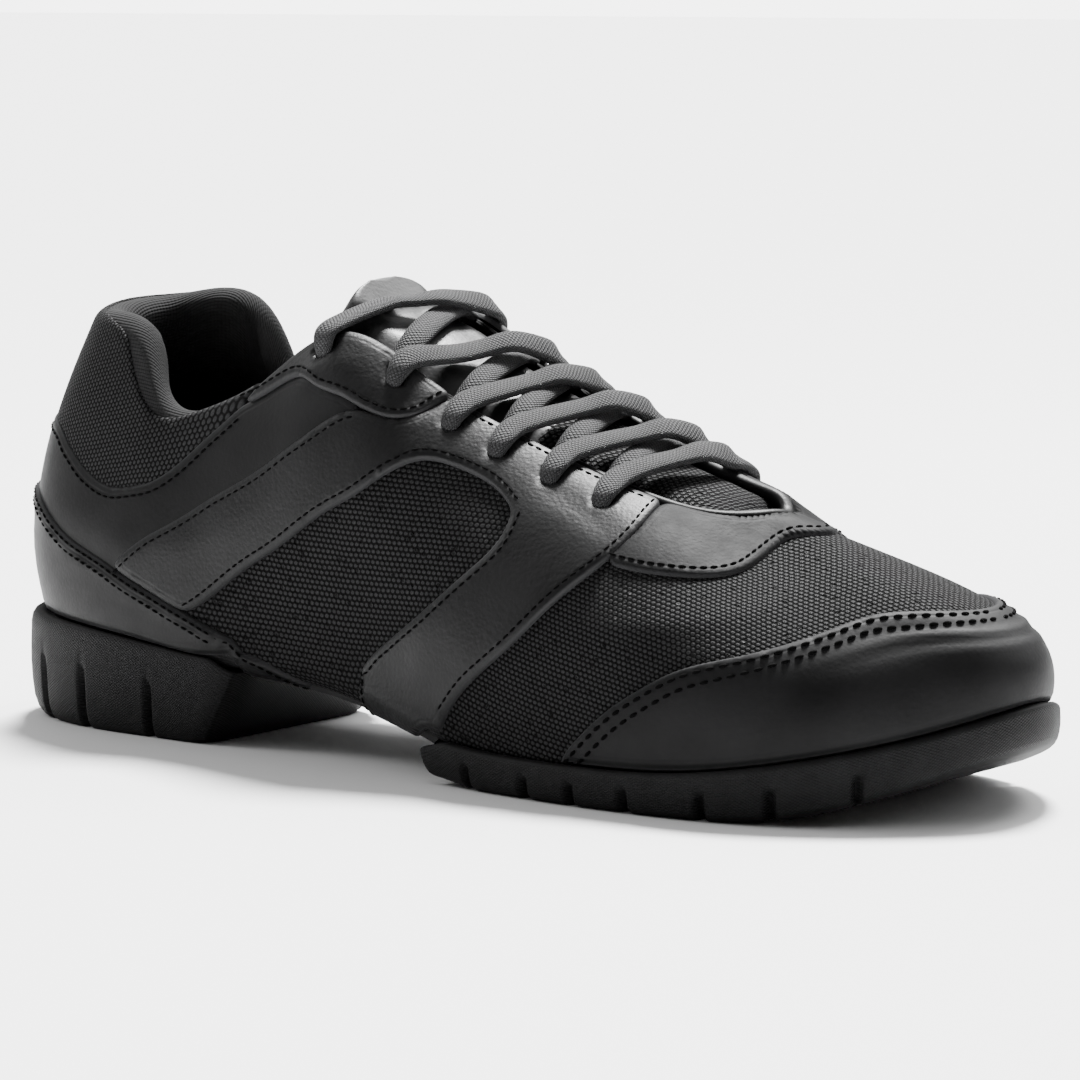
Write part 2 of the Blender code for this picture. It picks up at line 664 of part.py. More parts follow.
def inner_sheet(name, places, low_in, high_in, low, high, material, group):
    """Build a flat sheet that follows the foot line, such as the insole."""
    bm = bmesh.new()
    rings = []
    for inset, lift in ((low_in, low), (high_in, high)):
        sides = []
        for side in (1, -1):
            verts = []
            for place in places:
                rib = rib_at(side * place)
                point = rib[0:3] - outward(side * place) * (rib[10] + inset)
                if place in (places[0], places[-1]) and place not in (0.0, float(TOE)):
                    point[0] = rib[0]
                point[2] = ground(point[0]) + lift
                verts.append(bm.verts.new(point))
            sides.append(verts)
        for tip in (0, len(places) - 1):
            if places[tip] in (0.0, float(TOE)):
                bm.verts.remove(sides[1][tip])
                sides[1][tip] = sides[0][tip]
        rings.append(sides)
    (low_out, low_side), (high_out, high_side) = rings
    for lower, upper in ((low_out, high_out), (low_side, high_side)):
        for index in range(len(places) - 1):
            bm.faces.new((lower[index], lower[index + 1], upper[index + 1], upper[index]))
    for first, second in rings:
        for index in range(len(places) - 1):
            corners = [first[index], first[index + 1], second[index + 1], second[index]]
            bm.faces.new(list(dict.fromkeys(corners)))
    for end in (0, len(places) - 1):
        if low_out[end] is not low_side[end]:
            bm.faces.new((low_out[end], low_side[end], high_side[end], high_out[end]))
    return finish_mesh(bm, name, material, group)


def throat_frame(place):
    """Return the middle of the throat, the direction across it and its upward normal."""
    outer_rim = rib_at(place)[3:6]
    inner_rim = rib_at(-place)[3:6]
    middle = (outer_rim + inner_rim) / 2
    across = (inner_rim - outer_rim) / np.linalg.norm(inner_rim - outer_rim)
    ahead = rib_at(min(place + 0.3, 10.0))[3:6] + rib_at(-min(place + 0.3, 10.0))[3:6]
    behind = rib_at(min(place, 9.7) - 0.3)[3:6] + rib_at(-min(place, 9.7) + 0.3)[3:6]
    along = (ahead - behind) / np.linalg.norm(ahead - behind)
    normal = np.cross(along, across)
    return middle, across, normal / np.linalg.norm(normal)


def under_skin(place, share):
    """Return a point clear of the inside of the upper."""
    return over_skin(place, share, -pad_thickness(place, share) - TONGUE_CLEAR)


def tongue_section(place, lift, half, sink):
    """Return the points across the top of the tongue, following the upper where it lies under it."""
    middle, across, normal = throat_frame(place)
    points = []
    if place < TONGUE_FRONT:
        under_outer = [under_skin(place, share) for share in TONGUE_SHARES]
        under_inner = [under_skin(-place, share) for share in TONGUE_SHARES]
        throat = np.linalg.norm(rib_at(place)[3:6] - rib_at(-place)[3:6]) / 2
        top = [middle + across * throat * side - normal * (sink + TONGUE_CROWN * side**2)
               for side in (-0.66, -0.33, 0.0, 0.33, 0.66)]
        points = under_outer + top + under_inner[::-1]
    else:
        for step in range(11):
            side = step / 5 - 1
            points.append(middle + across * side * half
                          - normal * (sink + 2 * TONGUE_CROWN * side**2 * half / TONGUE_HALF))
    rise = np.array((-0.75, 0.0, 0.85)) * lift
    narrow = 1.0 if place > 6.0 or lift == 0 else half / TONGUE_HALF
    centre = points[5]
    return [centre + (point - centre) * narrow + rise for point in points], normal


def build_tongue(material, group):
    """Build the padded tongue between the throat edges."""
    loops = []
    for _, place, lift, half, sink in TONGUE_ROWS:
        top, normal = tongue_section(place, lift * TONGUE_LIFT, half * TONGUE_HALF,
                                     sink * TONGUE_PAD)
        under = []
        for index, point in enumerate(top):
            side = index / 5 - 1
            thickness = TONGUE_EDGE + (TONGUE_PAD - TONGUE_EDGE) * (1 - side**2)
            under.append(point - normal * thickness)
        loops.append(top + under[::-1])
    return loft("tongue", loops, material, group)


def tongue_crossing(near, far):
    """Return the middle line of a lace that lies on the tongue between the throat edges."""
    path = []
    for step in range(7):
        part = step / 6
        place = near + (far - near) * part
        middle, across, normal = throat_frame(place)
        throat = np.linalg.norm(rib_at(place)[3:6] - rib_at(-place)[3:6]) / 2
        side = (2 * part - 1) * 0.66
        path.append(middle + across * throat * side
                    + normal * (LACE_LIFT + LACE_THICK / 2 + TONGUE_PAD * 0.2 - TONGUE_CROWN * side**2))
    return path, normal


def strand_path(near, far):
    """Return the middle line of a lace between two eyelets, lifted clear of the tongue."""
    lift = LEATHER_LIFT + LEATHER + LACE_LIFT + LACE_THICK / 2
    ends = []
    for (place, share) in (near, far):
        ends.append(over_skin(place, share + LACE_END, lift - LACE_LIFT + 2 * CLEARANCE))
    rims = [rib_at(near[0])[3:6] + UP * (lift + WALL / 3), rib_at(far[0])[3:6] + UP * (lift + WALL / 3)]
    middle_place = (abs(near[0]) + abs(far[0])) / 2
    middle, across, normal = throat_frame(middle_place)
    crest = middle + normal * (LACE_LIFT + LACE_THICK * 1.28 + TONGUE_PAD * 0.2)
    control = [ends[0], rims[0], crest, rims[1], ends[1]]
    points = np.array([2 * control[0] - control[1]] + control + [2 * control[-1] - control[-2]])
    path = []
    for index in range(1, len(control)):
        a, b, c, d = points[index - 1:index + 3]
        for step in range(2):
            t = step / 2
            path.append(0.5 * (2 * b + (c - a) * t + (2 * a - 5 * b + 4 * c - d) * t**2
                               + (3 * b - a - 3 * c + d) * t**3))
    path.append(control[-1])
    return path, normal


def lace_strand(name, path, normal, material, group):
    """Build one flat lace along a middle line."""
    section = ((-0.5, 0.0), (-0.32, 0.5), (0.32, 0.5), (0.5, 0.0), (0.32, -0.5), (-0.32, -0.5))
    loops = []
    for index, point in enumerate(path):
        before = path[max(index - 1, 0)]
        after = path[min(index + 1, len(path) - 1)]
        along = (after - before) / np.linalg.norm(after - before)
        width = np.cross(along, normal)
        width = width / np.linalg.norm(width)
        thick = np.cross(width, along)
        loops.append([point + width * LACE_WIDTH * u + thick * LACE_THICK * v for u, v in section])
    return loft(name, loops, material, group)


def build_laces(material, group, cutters):
    """Build the crossings and the front bar of the lace."""
    for index, (near, far, share) in enumerate(EYELETS):
        name = f"lace_crossing_{index + 1}" if index < len(EYELETS) - 1 else "lace_bar"
        over = lace_strand(name, *strand_path((near, share), (-far, share)), material, group)
        if index == len(EYELETS) - 1:
            break
        following = EYELETS[index + 1]
        under = lace_strand(f"lace_under_{index + 1}", *tongue_crossing(
            near + 0.55 * (following[0] - near), max(far - 0.4, TONGUE_ROWS[4][1] + 0.05)),
            material, cutters)
        hide_cutter(under)
        modifier = over.modifiers.new("joined", "BOOLEAN")
        modifier.operation = "UNION"
        modifier.solver = "EXACT"
        modifier.object = under


def build():
    """Build every piece of the shoe."""
    clear_scene()
    parts = make_collection("dance_sneaker")
    cutters = make_collection("cutters")
    mesh_cloth = make_material("black_mesh_cloth", (0.018, 0.018, 0.019), 0.85)
    leather = make_material("black_leather", (0.012, 0.012, 0.013), 0.42)
    rubber = make_material("black_rubber", (0.020, 0.020, 0.021), 0.62)
    lace = make_material("black_lace", (0.010, 0.010, 0.011), 0.75)
    lining = make_material("black_lining", (0.022, 0.022, 0.023), 0.9)
    drills = eyelet_cutters(cutters)

    upper = loft("upper", [upper_section(place) for place in ring_places()], mesh_cloth, parts, True)
    cut(upper, drills)
    outlines = leather_outlines()
    for name, outline in outlines.items():
        piece = leather_piece(name, outline, leather, parts)
        if name in ("eyestay_outer", "wing_outer"):
            cut(piece, drills)
            other = leather_piece(name.replace("outer", "inner"), mirrored(outline), leather, parts)
            cut(other, drills)

    forefoot_start = place_at(FOREFOOT_REAR - HEEL_REST, *WAIST[1:])
    corner_steps = (1.2 * MM, 3.5 * MM, PAD_CORNER)
    corners = [place_at(FOREFOOT_REAR - HEEL_REST + step, *WAIST[1:]) for step in corner_steps]
    rest = [8 + step / 3 for step in range(9)] + [11 + step / 4 for step in range(9)]
    forefoot_places = [forefoot_start] + corners + [7.75] + rest
    forefoot = sole_pad("forefoot_sole", forefoot_places, FOREFOOT_REAR - HEEL_REST, -1, LIP_FLARE,
                        -3 * MM, rubber, parts)
    cut(forefoot, notch_cutters("forefoot_notches", FOREFOOT_NOTCHES, LIP_FLARE, cutters))
    heel_end = place_at(HEEL_FRONT - HEEL_REST, *WAIST[:2])
    heel_corners = [place_at(HEEL_FRONT - HEEL_REST - step, *WAIST[:2])
                    for step in corner_steps[::-1]]
    heel_places = [step / 4 for step in range(17)] + heel_corners + [heel_end]
    heel = sole_pad("heel_sole", heel_places, HEEL_FRONT - HEEL_REST, 1, HEEL_FLARE,
                    -HEEL_FRONT_LEAN, rubber, parts)
    cut(heel, notch_cutters("heel_notches", HEEL_NOTCHES, HEEL_FLARE, cutters))

    insole_places = [step / 3 for step in range(3 * TOE + 1)]
    inner_sheet("insole", insole_places, 2 * CLEARANCE, CLEARANCE, WALL + CLEARANCE,
                WALL + CLEARANCE + INSOLE, lining, parts)
    arch_start = place_at(HEEL_FRONT - HEEL_REST + CLEARANCE, *WAIST[:2])
    arch_end = place_at(FOREFOOT_REAR - HEEL_REST - CLEARANCE, *WAIST[1:])
    arch_places = [arch_start + (arch_end - arch_start) * step / 6 for step in range(7)]
    inner_sheet("arch_panel", arch_places, CLEARANCE, CLEARANCE, -CLEARANCE - ARCH_SHEET,
                -CLEARANCE, leather, parts)
    build_tongue(leather, parts)
    build_laces(lace, parts, cutters)


build()
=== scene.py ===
"""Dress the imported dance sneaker: cloth panels, leather, stitches, laces, rubber and a plain stage."""

import math

import bmesh
import bpy
import numpy as np
from bpy.props import FloatProperty, FloatVectorProperty, PointerProperty
from mathutils import Matrix, Quaternion, Vector
from mathutils.geometry import delaunay_2d_cdt


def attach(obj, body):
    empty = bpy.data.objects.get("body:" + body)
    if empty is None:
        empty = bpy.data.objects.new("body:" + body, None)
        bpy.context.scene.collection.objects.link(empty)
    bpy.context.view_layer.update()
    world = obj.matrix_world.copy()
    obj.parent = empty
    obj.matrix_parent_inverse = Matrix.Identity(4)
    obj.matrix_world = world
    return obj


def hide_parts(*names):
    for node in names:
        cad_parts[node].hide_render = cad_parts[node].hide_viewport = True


bl_info = {
    "name": "Dance sneaker",
    "version": (1, 0, 0),
    "blender": (4, 5, 0),
    "location": "View3D > Sidebar > Sneaker",
    "description": "Builds the visible pieces of a split-sole dance sneaker on its packed frame",
    "category": "Add Mesh",
}

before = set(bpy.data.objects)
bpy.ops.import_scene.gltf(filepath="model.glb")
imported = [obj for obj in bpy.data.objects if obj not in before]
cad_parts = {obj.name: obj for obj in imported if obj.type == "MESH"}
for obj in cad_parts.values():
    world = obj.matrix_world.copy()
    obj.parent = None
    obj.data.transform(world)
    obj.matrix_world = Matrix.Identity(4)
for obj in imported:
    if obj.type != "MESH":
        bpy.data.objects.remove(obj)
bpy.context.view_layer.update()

MM = 0.001
UP = np.array((0.0, 0.0, 1.0))

# Sizes shared with the solids
SOLE_LENGTH = 290 * MM
BALL_WIDTH = 90 * MM
COLLAR_HEIGHT = 107 * MM
FEATHER_RADIUS = 8 * MM
WALL = 2.0 * MM
COLLAR_PAD = 10 * MM
MARGIN = 9 * MM
CLEARANCE = 0.4 * MM
HEEL_REST = 44 * MM
FOREFOOT_REAR = 150 * MM
HEEL_FRONT = 88 * MM
HEEL_FRONT_LEAN = 10 * MM
TONGUE_PAD = 5.0 * MM
TONGUE_EDGE = 2.4 * MM
TONGUE_HALF = 22 * MM
TONGUE_LIFT = 10 * MM
TONGUE_CROWN = 3 * MM
TONGUE_CLEAR = 1.4 * MM
TONGUE_FRONT = 10.2
TONGUE_SHARES = (0.78, 0.87, 0.95)
TONGUE_MESH = 118 * MM
TONGUE_ALONG = 150
TONGUE_AROUND = 121

# Ribs of the upper. Columns: name, foot along, foot out, foot in, foot up, rim along, rim out,
# rim in, rim up out, rim up in, rim skew, rise, bulge, reach, drop, feather, pad.
RIBS = (
    ("heel_back", 0.024, 0.000, 0.000, 0.238, 0.088, 0.000, 0.000, 1.014, 1.014, 0.000,
     0.24, 0.07, 0.13, 0.24, 0.38, 1.0),
    ("heel_corner", 0.050, 0.467, 0.444, 0.234, 0.104, 0.315, 0.315, 0.992, 1.022, 0.007,
     0.24, 0.06, 0.095, 0.24, 0.38, 1.0),
    ("heel_side", 0.124, 0.689, 0.656, 0.220, 0.159, 0.419, 0.419, 0.953, 1.005, 0.021,
     0.22, 0.04, 0.05, 0.22, 0.38, 1.0),
    ("ankle_rear", 0.193, 0.733, 0.689, 0.201, 0.193, 0.500, 0.500, 0.800, 0.812, 0.021,
     0.19, 0.03, 0.06, 0.17, 0.38, 0.85),
    ("ankle", 0.262, 0.744, 0.667, 0.182, 0.248, 0.533, 0.533, 0.785, 0.775, 0.017,
     0.19, 0.02, 0.06, 0.15, 0.38, 0.55),
    ("ankle_front", 0.338, 0.756, 0.622, 0.168, 0.317, 0.522, 0.522, 0.875, 0.875, 0.014,
     0.21, 0.03, 0.08, 0.15, 0.88, 0.3),
    ("throat_top", 0.414, 0.800, 0.633, 0.140, 0.386, 0.444, 0.444, 0.967, 0.991, 0.010,
     0.22, 0.03, 0.13, 0.09, 1.00, 0.1),
    ("instep", 0.493, 0.878, 0.711, 0.098, 0.462, 0.367, 0.367, 0.860, 0.916, 0.007,
     0.22, 0.03, 0.19, 0.07, 0.75, 0.0),
    ("waist", 0.572, 0.967, 0.833, 0.070, 0.545, 0.344, 0.344, 0.762, 0.822, 0.007,
     0.22, 0.03, 0.21, 0.07, 0.38, 0.0),
    ("ball", 0.672, 1.033, 0.956, 0.065, 0.628, 0.322, 0.333, 0.678, 0.724, 0.007,
     0.22, 0.03, 0.21, 0.06, 0.38, 0.0),
    ("ball_front", 0.772, 1.022, 1.000, 0.075, 0.700, 0.267, 0.300, 0.621, 0.659, 0.007,
     0.23, 0.03, 0.22, 0.07, 0.38, 0.0),
    ("toe_side", 0.869, 0.844, 0.922, 0.117, 0.740, 0.144, 0.267, 0.607, 0.632, 0.003,
     0.225, 0.04, 0.205, 0.145, 0.38, 0.0),
    ("toe_corner", 0.948, 0.433, 0.656, 0.173, 0.755, 0.011, 0.200, 0.609, 0.604, 0.000,
     0.24, 0.03, 0.20, 0.125, 0.38, 0.0),
    ("toe_tip", 0.984, -0.111, 0.111, 0.215, 0.760, -0.089, 0.089, 0.608, 0.608, 0.000,
     0.165, 0.07, 0.40, 0.135, 0.38, 0.0),
)
TOE = len(RIBS) - 1
ROUND = 2 * TOE

# Seams on the outer side. Columns: place along the ribs, share of the height of the wall.
COUNTER_TOP = ((0.0, 0.43), (0.9, 0.41), (1.72, 0.29), (2.5, 0.255), (3.2, 0.22), (3.8, 0.16),
               (4.25, 0.09))
COUNTER_TAIL = ((4.25, 0.09), (4.6, 0.0), (5.1, -0.45), (5.4, -0.9))
COLLAR_EDGE = ((0.0, 0.67), (1.0, 0.646), (1.4, 0.575), (1.8, 0.51), (2.25, 0.513),
               (2.88, 0.634), (3.6, 0.775), (4.1, 0.875), (4.6, 0.945))
WING_BACK = ((4.6, 0.945), (5.42, 0.87), (5.88, 0.755), (6.45, 0.73))
WING_FRONT = ((6.45, 0.73), (6.8, 0.76), (7.1, 0.84), (7.25, 0.965))
STRAP_TOP = ((2.5, 0.255), (3.2, 0.465), (4.0, 0.585), (4.5, 0.619), (5.25, 0.623),
             (5.85, 0.64), (6.45, 0.73))
WINDOW_TOP = ((3.8, 0.16), (4.62, 0.288), (5.41, 0.357), (6.35, 0.475), (7.0, 0.642),
              (7.27, 0.718), (7.61, 0.756), (8.1, 0.76), (8.42, 0.71))
WINDOW_FRONT = ((8.42, 0.71), (8.33, 0.593), (8.02, 0.478), (7.5, 0.334), (6.92, 0.195),
                (6.5, 0.08), (6.33, -0.05), (6.30, -0.85))
SADDLE_FRONT = ((9.78, 0.965), (9.7, 0.79), (9.44, 0.635), (9.0, 0.482), (8.5, 0.315),
                (7.98, 0.17), (7.6, 0.03))
SADDLE_FOOT = ((7.6, 0.03), (7.3, -0.25), (7.1, -0.85))
VAMP_TIP_EDGE = ((9.44, 0.635), (9.88, 0.642), (10.38, 0.68), (10.92, 0.741), (11.45, 0.813),
                 (12.32, 0.885), (13.0, 0.90))
CAP_EDGE = ((8.9, -0.05), (8.97, 0.02), (9.33, 0.143), (9.72, 0.235), (10.25, 0.33),
            (10.97, 0.395), (11.62, 0.42), (12.52, 0.462), (13.0, 0.472))
# Seam of the collar's mesh and its lining, over the roll of the rim past a share of one
COLLAR_SEAM = ((0.0, 1.3), (1.0, 1.25), (1.55, 1.08), (1.85, 0.985), (2.08, 0.92), (2.35, 0.90),
               (2.65, 0.925), (2.95, 0.965), (3.3, 1.02), (3.7, 1.2), (4.2, 1.4), (4.75, 1.4))
RIM_LINE = 0.985
FOOT_LINE = -0.05

# Eyelets. Columns: place on the outer side, place on the inner side, share of the wall's height.
EYELETS = ((5.83, 6.40, 0.91), (6.72, 7.36, 0.90), (7.45, 7.92, 0.89), (8.02, 8.55, 0.88),
           (8.62, 9.20, 0.88), (9.22, 9.62, 0.87))

# Undersides of the pads. Columns: place along SOLE_LENGTH, height as a share of COLLAR_HEIGHT.
UNDERSIDE = ((0.0, 0.062), (0.014, 0.026), (0.034, 0.006), (0.052, 0.0), (0.26, 0.0),
             (0.5, 0.022), (0.53, 0.012), (0.575, 0.0), (0.82, 0.0), (0.87, 0.016),
             (0.914, 0.05), (0.958, 0.1), (1.0, 0.152))
FOREFOOT_NOTCHES = (8.02, 8.65, 9.09, 9.59, 10.25, 10.79, 11.42)
HEEL_NOTCHES = (1.37, 2.05, 3.18)
# Section of a pad's side. Columns: flare as a share of the pad's flare, height share.
PAD_SIDE = ((-0.25, 0.0), (0.15, 0.0), (0.42, 0.02), (0.66, 0.07), (0.84, 0.16), (0.94, 0.30),
            (1.0, 0.48), (1.0, 0.64), (0.98, 0.78), (0.97, 0.86), (0.90, 0.93), (0.76, 0.975),
            (0.56, 1.0), (0.34, 0.99), (0.16, 0.95))
# Side of the pads: flare of each pad, lean of its open end, lip, spacing of points, corners
FOREFOOT_FLARE = 3.6 * MM
HEEL_FLARE = 2.6 * MM
FOREFOOT_LEAN = 3.0 * MM
PAD_LIP = 2.4 * MM
PAD_SPACING = 0.55 * MM
PAD_CORNER = 14 * MM
PAD_CORNER_ROUNDS = 150
# Distances from a pad's open end: of its thin side, of the lip's start and ramp, of the lean
OPEN_END = 9 * MM
LIP_START = 2 * MM
LIP_RAMP = 8 * MM
LEAN_REACH = 26 * MM
# Notches in the pads' sides: half width, depth and top as a share of the side's height
NOTCH_HALF = 1.5 * MM
NOTCH_DEPTH = 3.6 * MM
NOTCH_TOP = 0.66

# Tongue. Columns: name, place, lift past the rim, half width, sink.
TONGUE_ROWS = (
    ("tip", 6.0, 1.0, 0.42, -0.3), ("tip_side", 6.0, 0.93, 0.72, -0.3),
    ("tip_corner", 6.0, 0.78, 0.90, -0.3), ("tab", 6.0, 0.58, 0.95, -0.3),
    ("neck", 6.0, 0.32, 0.88, -0.3),
    ("ankle", 6.0, 0.0, 1.0, -0.25),
    ("lace_1", 6.6, 0.0, 1.0, -0.2), ("lace_2", 7.3, 0.0, 1.0, -0.2),
    ("lace_3", 8.0, 0.0, 1.0, -0.15), ("lace_4", 8.6, 0.0, 0.98, -0.1),
    ("lace_5", 9.3, 0.0, 0.94, -0.05), ("lace_6", 10.0, 0.0, 0.9, -0.05),
    ("throat", 10.7, 0.0, 0.84, 0.42), ("vamp", 11.6, 0.0, 0.70, 1.5),
    ("end", 12.7, 0.0, 0.60, 1.9),
)

# Leather: height of its underside, and lift of the pieces that lie over another
LEATHER_BASE = 0.35 * MM
STAY_LIFT = 0.15 * MM
WING_LIFT = 0.75 * MM
WING_END = 7.3
# Reach of the rear quarter under its neighbours
OVERLAP = 3.0 * MM
EYELET_RADIUS = 2.5 * MM

# Rolled binding round the front of the throat
BINDING_START = 8.4
BINDING_WIDE = 3.4 * MM
BINDING_THICK = 3.6 * MM

# Laces: height of the upper and lower runs over the tongue, rise over the throat's far edge
OVER_RISE = 3.9 * MM
UNDER_RISE = 1.8 * MM
LACE_KNOB = 2.0 * MM

# The camera, as fitted to the photograph
CAMERA_AZIMUTH = 35.52
CAMERA_ELEVATION = 6.93
CAMERA_ROLL = 0.28
CAMERA_DISTANCE = 1.0618
CAMERA_TARGET = (0.15355 - HEEL_REST, 0.0, 0.05322)
CAMERA_LENS = 146.69


class Sizes(bpy.types.PropertyGroup):
    """Sizes of the visible pieces."""

    leather: FloatProperty(name="Leather", description="Thickness of the leather pieces",
                           default=1.2 * MM, unit="LENGTH")
    cell: FloatProperty(name="Cell", description="Spacing of the points on panels",
                        default=1.5 * MM, unit="LENGTH")
    stitch: FloatProperty(name="Stitch", description="Length from one stitch to the next",
                          default=2.45 * MM, unit="LENGTH")
    lace_width: FloatProperty(name="Lace width", description="Width of the flat lace",
                              default=6.6 * MM, unit="LENGTH")
    lace_thick: FloatProperty(name="Lace thickness", description="Thickness of the flat lace",
                              default=2.7 * MM, unit="LENGTH")
    weave_wide: FloatProperty(name="Weave width", description="Width of one cell of the mesh cloth",
                              default=1.6 * MM, unit="LENGTH")
    weave_high: FloatProperty(name="Weave height", description="Height of one row of the mesh cloth",
                              default=1.3 * MM, unit="LENGTH")


class Colours(bpy.types.PropertyGroup):
    """Colours of the finishes."""

    leather: FloatVectorProperty(name="Leather", description="Colour of the leather",
                                 default=(0.005, 0.005, 0.0052), subtype="COLOR", size=3)
    mesh: FloatVectorProperty(name="Mesh cloth", description="Colour of the woven mesh",
                              default=(0.0055, 0.0055, 0.0057), subtype="COLOR", size=3)
    lining: FloatVectorProperty(name="Lining", description="Colour of the knitted lining",
                                default=(0.0055, 0.0055, 0.0057), subtype="COLOR", size=3)
    rubber: FloatVectorProperty(name="Rubber", description="Colour of the sole rubber",
                                default=(0.006, 0.006, 0.0062), subtype="COLOR", size=3)
    lace: FloatVectorProperty(name="Lace", description="Colour of the laces",
                              default=(0.008, 0.008, 0.0085), subtype="COLOR", size=3)
    floor: FloatVectorProperty(name="Floor", description="Colour of the floor",
                               default=(0.86, 0.86, 0.86), subtype="COLOR", size=3)


def rib_rows():
    """Return the ring of ribs in metres, outer side first, then the inner side."""
    half = BALL_WIDTH / 2
    outer_rows = []
    inner_rows = []
    for row in RIBS:
        (_, along, out, inside, up, rim, rim_out, rim_in, up_out, up_in, skew,
         rise, bulge, reach, drop, feather, pad) = row
        handles = [share * COLLAR_HEIGHT for share in (rise, bulge, reach, drop)]
        ending = handles + [feather * FEATHER_RADIUS, pad]
        x = along * SOLE_LENGTH - HEEL_REST
        rim_x = rim * SOLE_LENGTH - HEEL_REST
        outer_rows.append([x, -out * half, up * COLLAR_HEIGHT, rim_x, -rim_out * half,
                           up_out * COLLAR_HEIGHT] + ending)
        inner_rows.append([x, inside * half, up * COLLAR_HEIGHT, rim_x + skew * SOLE_LENGTH,
                           rim_in * half, up_in * COLLAR_HEIGHT] + ending)
    return np.array(outer_rows + inner_rows[-2:0:-1])


def ring_slopes(rows):
    """Return the slopes of a closed cubic spline through the rows."""
    count = len(rows)
    matrix = 4 * np.eye(count) + np.roll(np.eye(count), 1, 0) + np.roll(np.eye(count), -1, 0)
    return np.linalg.solve(matrix, 3 * (np.roll(rows, -1, 0) - np.roll(rows, 1, 0)))


ROWS = rib_rows()
SLOPES = ring_slopes(ROWS)


def rib_at(place):
    """Return the values of the ribs at an array of places."""
    place = np.asarray(place, float) % ROUND
    low = np.floor(place).astype(int) % ROUND
    high = (low + 1) % ROUND
    part = (place - np.floor(place))[..., None]
    return (ROWS[low] * (2 * part**3 - 3 * part**2 + 1)
            + SLOPES[low] * (part**3 - 2 * part**2 + part)
            + ROWS[high] * (3 * part**2 - 2 * part**3) + SLOPES[high] * (part**3 - part**2))


FOOT_PLACES = np.linspace(0, TOE, 8 * TOE + 1)
FOOT_ALONG = rib_at(FOOT_PLACES)[:, 0]
FOOT_HEIGHT = rib_at(FOOT_PLACES)[:, 2]


def ground(x):
    """Return the height of the underside of the upper along the shoe."""
    return np.interp(x, FOOT_ALONG, FOOT_HEIGHT)


def outward(place):
    """Return the level directions out of the shoe at the foot line."""
    place = np.asarray(place, float)
    step = rib_at(place + 0.001)[..., :2] - rib_at(place - 0.001)[..., :2]
    step = step / np.linalg.norm(step, axis=-1, keepdims=True)
    return np.stack((step[..., 1], -step[..., 0], np.zeros(step.shape[:-1])), -1)


def ease(value):
    """Ease values between nought and one."""
    value = np.clip(value, 0.0, 1.0)
    return value * value * (3 - 2 * value)


def pad_thickness(place, share):
    """Return the thickness of the wall, padded towards the collar."""
    pad = np.clip(rib_at(place)[..., 11], 0.0, 1.0)
    return WALL + (COLLAR_PAD - WALL) * pad * ease((np.asarray(share) - 0.45) / 0.45)


def wall_skin(place, share):
    """Return points on the outside of the upper, up to its rim."""
    rib = rib_at(place)
    out = outward(place)
    feather = rib[..., 10:11]
    foot = rib[..., 0:3] + UP * feather
    half = pad_thickness(place, np.ones_like(place))[..., None] / 2
    rim = rib[..., 3:6] + out * (half - WALL / 2) - UP * half
    low = foot + out * rib[..., 7:8] + UP * rib[..., 6:7]
    high = rim + out * rib[..., 8:9] - UP * rib[..., 9:10]
    rise = np.clip(share, 0.0, None)[..., None]
    rest = 1 - rise
    wall = rest**3 * foot + 3 * rest**2 * rise * low + 3 * rest * rise**2 * high + rise**3 * rim
    turn = np.clip(-share, 0.0, 1.0)[..., None] * math.pi / 2
    inset = feather * (1 - np.cos(turn)) + np.clip(-share - 1, 0.0, None)[..., None] * MARGIN
    under = foot - out * inset - UP * feather * np.sin(turn)
    under = under + UP * (ground(under[..., 0]) - ground(rib[..., 0]))[..., None]
    return np.where(share[..., None] < 0, under, wall)


def skin(place, share):
    """Return points on the outside of the upper. A share from one to two rolls over the rim."""
    place, share = np.broadcast_arrays(np.asarray(place, float), np.asarray(share, float))
    points = wall_skin(place, np.minimum(share, 1.0))
    over = share > 1.0
    if over.any():
        where = place[over]
        rim = np.ones_like(where)
        top = wall_skin(where, rim)
        step = 0.002
        along = wall_skin(where + step, rim) - wall_skin(where - step, rim)
        rise = top - wall_skin(where, rim - step)
        rise = rise / np.linalg.norm(rise, axis=-1, keepdims=True)
        normal = np.cross(along, rise)
        normal = normal / np.linalg.norm(normal, axis=-1, keepdims=True)
        half = pad_thickness(where, rim)[..., None] / 2
        angle = ((share[over] - 1) * math.pi)[..., None]
        points = points.copy()
        points[over] = top + half * (normal * (np.cos(angle) - 1) + rise * np.sin(angle))
    return points


def skin_frame(place, share):
    """Return the steps along and up the skin and the directions out of it."""
    step = 0.002
    along = (skin(place + step, share) - skin(place - step, share)) / (2 * step)
    rise = (skin(place, share + step) - skin(place, share - step)) / (2 * step)
    normal = np.cross(along, rise)
    return along, rise, normal / np.linalg.norm(normal, axis=-1, keepdims=True)


# Creases. Columns: place, share, half length in places, half width in shares, slant, height in mm.
CREASES = (
    (12.6, 0.37, 1.0, 0.018, 0.03, -0.3), (12.4, 0.335, 1.1, 0.018, 0.03, 0.22),
    (12.5, 0.30, 1.0, 0.018, 0.03, -0.25), (12.8, 0.265, 0.8, 0.02, 0.03, 0.15),
    (10.6, 0.52, 1.2, 0.05, 0.10, 0.5), (9.0, 0.80, 0.5, 0.05, -0.1, -0.4),
    (7.0, 0.86, 0.4, 0.04, 0.2, -0.5), (5.9, 0.83, 0.4, 0.05, 0.0, 0.5),
    (7.7, 0.30, 0.5, 0.10, 0.3, 0.5), (2.0, 0.35, 1.0, 0.10, 0.0, 0.5),
    (0.0, 0.20, 1.2, 0.10, 0.0, 0.4), (4.4, 0.46, 1.2, 0.08, 0.05, 0.4),
)


